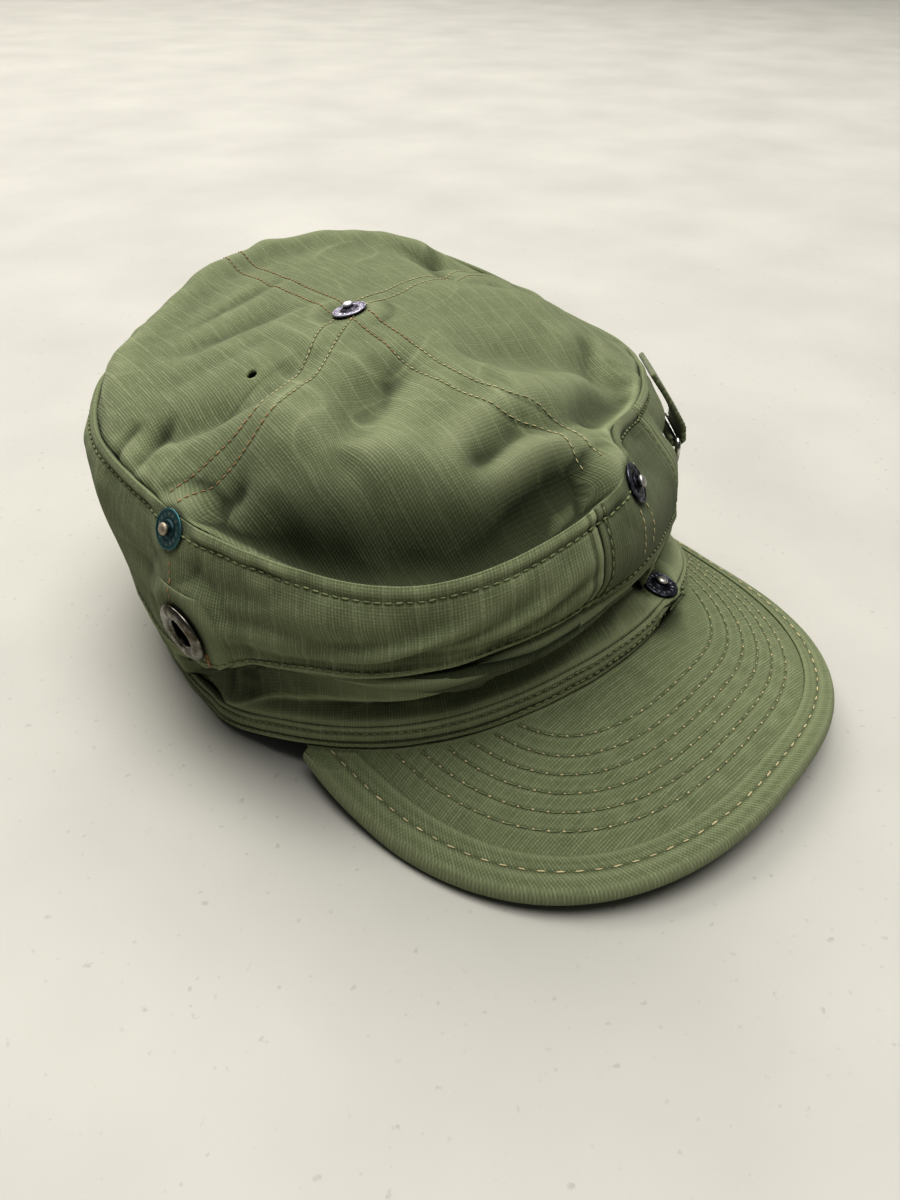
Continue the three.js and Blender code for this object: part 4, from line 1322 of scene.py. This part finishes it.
def all_stitches(settings):
    """Every row of stitches on the cap, and the bar tack under the right eyelet."""
    olive = thread_material("Cotton thread, olive", settings.thread_olive)
    pale = thread_material("Cotton thread, faded", settings.thread_pale)
    rust = thread_material("Cotton thread, rust", settings.thread_rust)
    pitch, thread = settings.stitch_pitch / MM, settings.stitch_thread / MM
    top = ["crown_top_cloth"]
    long = pitch * 0.86
    walls = [(around_head(CROWN_SEAM, CROWN_ROW), SIDES), (around_head(LOWER_SEAM, -SEAM_ROW), SIDES)]
    for seam, side in ((SEAM_RIGHT, 1), (SEAM_LEFT, -1), (SEAM_BACK, 1), (SEAM_BACK, -1)):
        walls.append((down_wall(seam, 1.1, 2.92, side * SEAM_ROW), SIDES))
    stitch_rows("stitches_walls", walls, olive, pitch, long, thread)
    round_it = (SEAM_RIGHT, SEAM_RIGHT + 359)
    band = [(around_head(BAND_SEAM, row, *round_it), ["rim_band_cloth"]) for row in BAND_ROWS]
    stitch_rows("stitches_band", band, olive, pitch, long, thread * 0.9)
    rust_lines, pale_lines = [], []
    for side in (-ROW_PAIR, ROW_PAIR):
        rust_lines.append((on_top(ROW_LENGTHWISE, side, 0.0, 0.62), top))
        pale_lines.append((on_top(ROW_LENGTHWISE, side, 0.62, 1.0), top))
        pale_lines.append((on_top(ROW_CROSSWISE, side, 0.16, 0.92), top))
        rust_lines.append((on_top(ROW_CROSSWISE, side, 0.0, 0.16), top))
        pale_lines.append((down_wall(-3, 1.62, 2.35, side), ["front_panel_cloth"]))
    rust_lines.append((down_wall(-80.6, 1.5, 1.98), SIDES))
    tack = [(down_wall(-74.5, 2.62, 2.86), ["side_panel_right_cloth"])]
    stitch_rows("bar_tack", tack, rust, 0.5, 2.2, thread * 0.9, math.pi / 2)
    stitch_rows("stitches_top_rust", rust_lines, rust, pitch * 0.84, long * 0.8, thread * 0.64)
    stitch_rows("stitches_top_faded", pale_lines, pale, pitch * 0.84, long * 0.8, thread * 0.64)
    rows, holes = [], []
    for row in PEAK_ROWS:
        line = peak_point(peak_line(row)) + np.array([0, 0, 1.0])
        rows.append((line, ["peak_cloth"]))
        holes.append((line[3:], ["peak_cloth"]))
    stitch_rows("stitches_peak", rows, olive, 3.8, 3.3, thread * 0.62)
    stitch_rows("needle_knots_peak", holes, pale, 3.8, 0.95, thread)
    edge = [(peak_point(peak_line(BINDING_ROW)) + np.array([0, 0, 2.3]), ["peak_binding_tape"])]
    stitch_rows("stitches_binding", edge, pale, 4.6, 2.6, thread * 0.9)


# Materials


def new_material(name, roughness, metallic=0.0):
    """A material with its node maker and its shader."""
    material = bpy.data.materials.new(name)
    material.use_nodes = True
    shader = material.node_tree.nodes["Principled BSDF"]
    set_inputs(shader, {"Roughness": roughness, "Metallic": metallic})
    return material, partial(add_node, material.node_tree), shader


def opaque(colour):
    """A colour with full alpha."""
    return (*tuple(colour)[:3], 1.0)


CLOTH_KINDS = {  # name, and how much the thicker threads show
    "panels": ("Ripstop cotton, washed olive", 0.55),
    "peak": ("Ripstop cotton, stiffened", 0.14),
    "bias": ("Ripstop cotton, bias strip", 0.0),
}


def cloth_material(settings, kind="panels"):
    """Ripstop cotton: plain weave with a thicker thread every few millimetres, vat dyed and
    washed. Its high threads have faded, so that it reads as pale lines on a darker green."""
    name, heavy_share = CLOTH_KINDS[kind]
    if name in bpy.data.materials:
        return bpy.data.materials[name]
    material, add, shader = new_material(name, 0.92)
    place = add("ShaderNodeUVMap", uv_map="cloth")
    solid = add("ShaderNodeTexCoord").outputs["Object"]
    along, across, _level = add("ShaderNodeSeparateXYZ", {0: place}).outputs
    wander = add("ShaderNodeTexNoise", {"Vector": place, "Scale": 0.035, "Detail": 3.0})
    drift = add("ShaderNodeMath", {0: wander, 1: 1.1, 2: along}, operation="MULTIPLY_ADD")
    # Real threads lie 0.3 mm apart; they are drawn as coarse as the view can show
    weave = settings.weave_pitch / MM
    lines = []
    for value, pitch in ((drift, weave), (across, weave * 1.1)):
        turn = add("ShaderNodeMath", {0: value, 1: 2 * math.pi / pitch}, operation="MULTIPLY")
        wave = add("ShaderNodeMath", {0: turn}, operation="SINE")
        lines.append(add("ShaderNodeMath", {0: wave, 1: 0.5, 2: 0.5}, operation="MULTIPLY_ADD"))
    # Each thread is thicker in some places than in others
    lengthwise = add("ShaderNodeMapping", {"Vector": place, "Scale": (1 / weave, 0.12, 1)})
    slubs = add("ShaderNodeTexNoise", {"Vector": lengthwise, "Scale": 1.0, "Detail": 2.0})
    uneven = add("ShaderNodeMapRange", {0: slubs, 1: 0.3, 2: 0.7, 3: 0.15, 4: 1.2})
    warp = add("ShaderNodeMath", {0: lines[0], 1: uneven}, operation="MULTIPLY")
    weft = add("ShaderNodeMath", {0: lines[1], 1: 0.32, 2: warp}, operation="MULTIPLY_ADD")
    # Thicker threads of the ripstop grid
    half_pitch = settings.ripstop_pitch / MM / 2
    heavy = []
    for value, strength in ((drift, heavy_share), (across, heavy_share * 0.4)):
        away = add("ShaderNodeMath", {0: value, 1: half_pitch}, operation="PINGPONG")
        heavy.append(add("ShaderNodeMapRange", {0: away, 1: 0.12, 2: 0.4, 3: strength, 4: 0.0}))
    patches = add("ShaderNodeTexNoise", {"Vector": solid, "Scale": 24.0, "Detail": 5.0})
    showing = add("ShaderNodeMapRange", {0: patches, 1: 0.38, 2: 0.62, 3: 0.25, 4: 1.2})
    both = add("ShaderNodeMath", {0: heavy[0], 1: heavy[1]}, operation="MAXIMUM")
    grid = add("ShaderNodeMath", {0: both, 1: showing}, operation="MULTIPLY")
    threads = add("ShaderNodeMath", {0: weft, 1: grid}, operation="ADD")
    flecks = add("ShaderNodeTexNoise", {"Vector": place, "Scale": 1.3, "Detail": 2.0})
    speck = add("ShaderNodeMapRange", {0: flecks, 1: 0.35, 2: 0.65, 3: 0.6, 4: 1.2})
    share = add("ShaderNodeMath", {0: threads, 1: speck}, operation="MULTIPLY")
    seen = add("ShaderNodeMath", {0: share, 1: 0.75}, operation="MULTIPLY", use_clamp=True)
    faded = add("ShaderNodeMapRange", {0: patches, 1: 0.35, 2: 0.68, 3: 0.0, 4: 0.35})
    high = add("ShaderNodeAttribute", attribute_name="wear").outputs["Fac"]
    rubbed = add("ShaderNodeMath", {0: high, 1: settings.wear}, operation="MULTIPLY", use_clamp=True)
    # Painted shade: the shade attribute darkens creases, seams, hollows and tucks toward the crease shade
    # colour
    low = add("ShaderNodeAttribute", attribute_name="shade").outputs["Fac"]
    painted_darkening = add("ShaderNodeMath", {0: low, 1: 0.8}, operation="MULTIPLY", use_clamp=True)
    coats = (
        (seen, settings.cloth_thread), (faded, settings.cloth_faded),
        (rubbed, settings.cloth_worn), (painted_darkening, settings.crease_shade_and_dark_fibre),
    )
    colour = opaque(settings.cloth_ground)
    for amount, coat in coats:
        mixed = add("ShaderNodeMix", {0: amount, 6: colour, 7: opaque(coat)}, data_type="RGBA")
        colour = mixed.outputs[2]
    bump = add("ShaderNodeBump", {"Height": share, "Strength": 0.5, "Distance": 0.0002})
    set_inputs(shader, {"Base Color": colour, "Normal": bump})
    set_inputs(shader, {"Sheen Weight": 0.06, "Sheen Roughness": 0.6, "Specular IOR Level": 0.2})
    return material


def thread_material(name, colour):
    """Mercerised cotton thread, tightly twisted: a soft shine on each stitch."""
    material, add, shader = new_material(name, 0.7)
    solid = add("ShaderNodeTexCoord").outputs["Object"]
    fade = add("ShaderNodeTexNoise", {"Vector": solid, "Scale": 260.0, "Detail": 2.0})
    dark, light = (opaque([min(c * share, 1) for c in colour]) for share in (0.6, 1.5))
    mixed = add("ShaderNodeMix", {0: fade, 6: dark, 7: light}, data_type="RGBA")
    set_inputs(shader, {"Base Color": mixed.outputs[2]})
    return material


def webbing_material(settings):
    """Cotton webbing, coarse and fuzzy: matt, with lighter fibres on its ribs."""
    material, add, shader = new_material("Cotton webbing, olive", 0.95)
    solid = add("ShaderNodeTexCoord").outputs["Object"]
    fibres = add("ShaderNodeTexNoise", {"Vector": solid, "Scale": 900.0, "Detail": 3.0})
    fade = add("ShaderNodeTexNoise", {"Vector": solid, "Scale": 160.0, "Detail": 3.0})
    light = opaque(settings.webbing)
    colour = opaque(settings.crease_shade_and_dark_fibre)
    for amount in (fibres, fade):
        mixed = add("ShaderNodeMix", {0: amount, 6: colour, 7: light}, data_type="RGBA")
        colour = mixed.outputs[2]
    bump = add("ShaderNodeBump", {"Height": fibres, "Strength": 0.6, "Distance": 0.0003})
    set_inputs(shader, {"Sheen Weight": 0.3, "Base Color": colour, "Normal": bump})
    return material


def metal_material(name, bright, dull, roughness, patches, recess_shade_colour, rubbed_colour=None):
    """Plated metal: bright where it is rubbed, dull where it has tarnished, with painted shade in its
    recesses.
    """
    if name in bpy.data.materials:
        return bpy.data.materials[name]
    material, add, shader = new_material(name, roughness, 1.0)
    solid = add("ShaderNodeTexCoord").outputs["Object"]
    spots = add("ShaderNodeTexNoise", {"Vector": solid, "Scale": patches, "Detail": 5.0})
    tarnish = add("ShaderNodeMapRange", {0: spots, 1: 0.38, 2: 0.62, 3: 0.0, 4: 1.0})
    # Painted shade: the recess values darken crevices, collars and barrels toward the recess colour
    hollow = add("ShaderNodeAttribute", attribute_name="recess_shade").outputs["Fac"]
    rubbed = add("ShaderNodeAttribute", attribute_name="rubbed").outputs["Fac"]
    colour = opaque(bright)
    for amount, coat in ((tarnish, dull), (hollow, recess_shade_colour), (rubbed, rubbed_colour or bright)):
        mixed = add("ShaderNodeMix", {0: amount, 6: colour, 7: opaque(coat)}, data_type="RGBA")
        colour = mixed.outputs[2]
    dullest = min(roughness * 1.5, 1.0)
    rough = add("ShaderNodeMapRange", {0: spots, 1: 0.35, 2: 0.65, 3: roughness * 0.8, 4: dullest})
    bump = add("ShaderNodeBump", {"Height": spots, "Strength": 0.35, "Distance": 0.0001})
    set_inputs(shader, {"Base Color": colour, "Roughness": rough, "Normal": bump})
    return material


def stud_material(settings, finish):
    """Snap studs of plated brass. The plating is grey nickel, green with verdigris or black."""
    if finish == "nickel":
        return metal_material(
            "Nickel plated brass, worn", linear("bab6c2"), linear("8a8592"), 0.5, 900.0, linear("3c3a40"),
            linear("dedce0"),
        )
    if finish == "patina":
        return metal_material(
            "Plated brass, verdigris", settings.patina, linear("6b8588"), 0.55, 700.0, linear("3a4648"),
            linear("b9ae9c"),
        )
    return metal_material(
        "Blackened brass, worn", linear("7c7d88"), linear("3d3e49"), 0.45, 800.0, linear("17181c"),
        linear("c4c1bc"),
    )


def eyelet_material(settings):
    """Gunmetal plating over brass: a dark grey mirror, dulled in patches."""
    return metal_material(
        "Gunmetal plate", settings.gunmetal, linear("5c5648"), 0.3, 420.0, linear("15140f")
    )


def ring_material():
    """Nickel plated steel wire: smooth and bright."""
    return metal_material(
        "Nickel plated steel wire", linear("d6d5d2"), linear("9a9893"), 0.22, 500.0, linear("9a9893")
    )


def floor_material(settings):
    """Sealed concrete, worn smooth: pale, with faint clouds and fine grit."""
    material, add, shader = new_material("Sealed concrete", 0.75)
    solid = add("ShaderNodeTexCoord").outputs["Object"]
    clouds = add("ShaderNodeTexNoise", {"Vector": solid, "Scale": 9.0, "Detail": 6.0})
    grit = add("ShaderNodeTexNoise", {"Vector": solid, "Scale": 320.0, "Detail": 3.0})
    faint = add("ShaderNodeMapRange", {0: clouds, 1: 0.3, 2: 0.7, 3: 0.0, 4: 1.0})
    dots = add("ShaderNodeMapRange", {0: grit, 1: 0.66, 2: 0.74, 3: 0.0, 4: 0.35})
    colour = opaque(settings.floor)
    for amount, tone in ((faint, 0.88), (dots, 0.5)):
        darker = opaque([c * tone for c in settings.floor])
        mixed = add("ShaderNodeMix", {0: amount, 6: colour, 7: darker}, data_type="RGBA")
        colour = mixed.outputs[2]
    set_inputs(shader, {"Base Color": colour})
    return material


# Stage


CAMERA_PLACE = np.array([-182.4, -188.9, 195.4])  # from the head centre
CAMERA_AZIMUTH = math.radians(-48.63)
CAMERA_ELEVATION = math.radians(37.87)
CAMERA_ROLL = math.radians(0.64)
FOCAL_PIXELS = 902.0
IMAGE_LONG_SIDE = 1200.0
SENSOR = 36.0


def camera():
    """The camera at the photographed view."""
    data = bpy.data.cameras.new("camera")
    data.sensor_width = SENSOR
    data.lens = FOCAL_PIXELS * SENSOR / IMAGE_LONG_SIDE
    data.clip_start = 0.01
    data.clip_end = 20
    az, el = CAMERA_AZIMUTH, CAMERA_ELEVATION
    back = np.array([math.sin(az) * math.cos(el), -math.cos(az) * math.cos(el), math.sin(el)])
    right = np.array([math.cos(az), math.sin(az), 0.0])
    up = np.cross(back, right)
    rolled_right = right * math.cos(CAMERA_ROLL) + up * math.sin(CAMERA_ROLL)
    rolled_up = up * math.cos(CAMERA_ROLL) - right * math.sin(CAMERA_ROLL)
    place = (CAMERA_PLACE + HEAD_CENTRE) * MM
    columns = np.stack([rolled_right, rolled_up, back, place], -1)
    made = linked("camera", data)
    made.matrix_world = Matrix([*columns.tolist(), [0, 0, 0, 1]])
    bpy.context.scene.camera = made


def soft_light(name, place, aim, size, power, colour):
    """A round area light that faces a place."""
    data = bpy.data.lights.new(name, "AREA")
    data.shape = "DISK"
    data.size = size
    data.energy = power
    data.color = colour
    made = linked(name, data)
    made.location = place
    made.rotation_mode = "QUATERNION"
    made.rotation_quaternion = (Vector(aim) - Vector(place)).to_track_quat("-Z", "Y")


def stage(settings):
    """Pale floor, room light, two soft lights and the camera."""
    mesh = bpy.data.meshes.new("floor")
    signs = ((-1, -1), (1, -1), (1, 1), (-1, 1))
    mesh.from_pydata([(x * FLOOR_HALF, y * FLOOR_HALF, 0) for x, y in signs], [], [(0, 1, 2, 3)])
    mesh.materials.append(floor_material(settings))
    linked("floor", mesh)
    world = bpy.data.worlds.new("Soft room light")
    world.use_nodes = True
    sky = world.node_tree.nodes["Background"]
    sky.inputs["Color"].default_value = (0.93, 0.97, 1.0, 1.0)
    sky.inputs["Strength"].default_value = settings.room_light
    bpy.context.scene.world = world
    soft_light("window", (0.9, 2.1, 2.7), (0, 0, 0.05), 3.2, settings.window_light, (1.0, 0.98, 0.95))
    soft_light("ceiling", (0.1, -0.4, 3.4), (0, 0, 0), 2.6, settings.ceiling_light, (1.0, 1.0, 1.0))
    bpy.context.scene.view_settings.view_transform = "Standard"
    bpy.context.scene.view_settings.look = "High Contrast"
    camera()


# Settings, operators and panel


def length_setting(name, description, millimetres):
    return FloatProperty(
        name=name, description=description, default=millimetres * MM, min=0, precision=5, unit="LENGTH"
    )


def share_setting(name, description, default, highest):
    return FloatProperty(
        name=name, description=description, default=default, min=0, max=highest, subtype="FACTOR"
    )


def power_setting(name, description, watts):
    return FloatProperty(name=name, description=description, default=watts, min=0, unit="POWER")


def colour_setting(name, description, code):
    return FloatVectorProperty(
        name=name, description=description, default=linear(code), min=0, max=1, subtype="COLOR"
    )


class FieldCapSettings(bpy.types.PropertyGroup):
    """Sizes, shares and colours that a user would change."""

    top_cells: IntProperty(
        name="Top cells", description="Cells across the top panel's grid", default=256, min=32, max=280
    )
    peak_columns: IntProperty(
        name="Peak columns", description="Pairs of cells round the peak", default=130, min=20, max=200
    )
    stud_pips: IntProperty(
        name="Stud pips", description="Raised pips round each stud's disc", default=14, min=6, max=24
    )
    wrinkle: share_setting("Wrinkles", "How far the washed cloth is creased", 0.75, 2)
    wear: share_setting("Wear", "How much the high places are faded", 0.5, 1)
    seam_ridge: length_setting("Seam ridge", "Height of the worn crown seam", 0.75)
    stitch_groove: length_setting("Stitch groove", "Depth the stitches draw the cloth down", 0.42)
    stitch_pitch: length_setting("Stitch pitch", "Distance from stitch to stitch", 2.5)
    stitch_thread: length_setting("Thread", "Thickness of the sewing thread", 0.55)
    weave_pitch: length_setting("Weave pitch", "Distance of the drawn threads", 0.72)
    ripstop_pitch: length_setting("Ripstop pitch", "Distance of the thicker threads", 6.5)
    cloth_ground: colour_setting("Cloth ground", "Colour between the threads", "666d50")
    cloth_thread: colour_setting("Cloth threads", "Colour of the high threads", "959b7c")
    cloth_faded: colour_setting("Faded cloth", "Colour of the washed out patches", "848a6a")
    cloth_worn: colour_setting("Worn cloth", "Colour of rubbed ridges", "b0b592")
    # Colour of the painted shade in seams, creases and hollows, and of the darker fibres of the webbing
    crease_shade_and_dark_fibre: colour_setting("Crease shade and dark fibre", "Colour deep in seams and creases", "2d3422")
    thread_olive: colour_setting("Olive thread", "Sewing thread of the seams", "868b68")
    thread_pale: colour_setting("Faded thread", "Sewing thread that has faded", "c4b893")
    thread_rust: colour_setting("Rust thread", "Sewing thread that has turned rust brown", "b58f6c")
    webbing: colour_setting("Webbing", "Colour of the strap", "8b9070")
    patina: colour_setting("Patina", "Verdigris on the right stud", "4f7c80")
    gunmetal: colour_setting("Gunmetal", "Plating of the eyelets", "8d8a84")
    floor: colour_setting("Floor", "Colour of the floor", "c6c3ba")
    room_light: share_setting("Room light", "Strength of the soft room light", 0.1, 1)
    window_light: power_setting("Window light", "Power of the window", 72.0)
    ceiling_light: power_setting("Ceiling light", "Power of the ceiling", 80.0)


def settings_of(context):
    return context.scene.field_cap


class FIELDCAP_OT_crown_top(bpy.types.Operator):
    """Top panel with its folds, seams and worn hole"""

    bl_idname = "field_cap.crown_top"
    bl_label = "Crown top"

    def execute(self, context):
        crown_top(settings_of(context))
        return {"FINISHED"}


class FIELDCAP_OT_side_walls(bpy.types.Operator):
    """Front panel and both side panels, from the crown seam to the lower seam"""

    bl_idname = "field_cap.side_walls"
    bl_label = "Front and side panels"

    def execute(self, context):
        settings = settings_of(context)
        wall_piece(settings, "side_panel_right", SEAM_BACK - 360, SEAM_RIGHT)
        wall_piece(settings, "side_panel_left", SEAM_LEFT, SEAM_BACK)
        wall_piece(settings, "front_panel", SEAM_RIGHT, SEAM_LEFT)
        return {"FINISHED"}


class FIELDCAP_OT_lower_wall(bpy.types.Operator):
    """Tucked lower wall and the stitched band at the rim"""

    bl_idname = "field_cap.lower_wall"
    bl_label = "Lower wall and rim band"

    def execute(self, context):
        lower_wall(settings_of(context))
        rim_band(settings_of(context))
        return {"FINISHED"}


class FIELDCAP_OT_peak(bpy.types.Operator):
    """Stitched peak and the strip that binds its edge"""

    bl_idname = "field_cap.peak"
    bl_label = "Peak"

    def execute(self, context):
        peak_cloth(settings_of(context))
        peak_binding(settings_of(context))
        return {"FINISHED"}


class FIELDCAP_OT_metal(bpy.types.Operator):
    """Snap studs and eyelets"""

    bl_idname = "field_cap.metal"
    bl_label = "Studs and eyelets"

    def execute(self, context):
        studs(settings_of(context))
        eyelets(settings_of(context))
        return {"FINISHED"}


class FIELDCAP_OT_strap(bpy.types.Operator):
    """Webbing tab and its wire ring"""

    bl_idname = "field_cap.strap"
    bl_label = "Strap and ring"

    def execute(self, context):
        strap(settings_of(context))
        return {"FINISHED"}


class FIELDCAP_OT_stitches(bpy.types.Operator):
    """Rows of stitches on the cloth that is already there"""

    bl_idname = "field_cap.stitches"
    bl_label = "Stitches"

    def execute(self, context):
        all_stitches(settings_of(context))
        return {"FINISHED"}


class FIELDCAP_OT_stage(bpy.types.Operator):
    """Pale floor, soft light and camera"""

    bl_idname = "field_cap.stage"
    bl_label = "Stage"

    def execute(self, context):
        stage(settings_of(context))
        return {"FINISHED"}


STEPS = (
    FIELDCAP_OT_crown_top,
    FIELDCAP_OT_side_walls,
    FIELDCAP_OT_lower_wall,
    FIELDCAP_OT_peak,
    FIELDCAP_OT_metal,
    FIELDCAP_OT_strap,
    FIELDCAP_OT_stitches,
    FIELDCAP_OT_stage,
)


class FIELDCAP_PT_panel(bpy.types.Panel):
    """Sizes, colours and building steps of the field cap"""

    bl_label = "Field cap"
    bl_idname = "FIELDCAP_PT_panel"
    bl_space_type = "VIEW_3D"
    bl_region_type = "UI"
    bl_category = "Field cap"

    def draw(self, context):
        settings = settings_of(context)
        for name in FieldCapSettings.__annotations__:
            self.layout.prop(settings, name)
        for step in STEPS:
            self.layout.operator(step.bl_idname)


CLASSES = (FieldCapSettings, *STEPS, FIELDCAP_PT_panel)


def register():
    for item in CLASSES:
        bpy.utils.register_class(item)
    bpy.types.Scene.field_cap = PointerProperty(type=FieldCapSettings)


def unregister():
    del bpy.types.Scene.field_cap
    for item in reversed(CLASSES):
        bpy.utils.unregister_class(item)


def main():
    register()
    for step in STEPS:
        group, name = step.bl_idname.split(".")
        getattr(getattr(bpy.ops, group), name)()


if __name__ == "__main__":
    main()
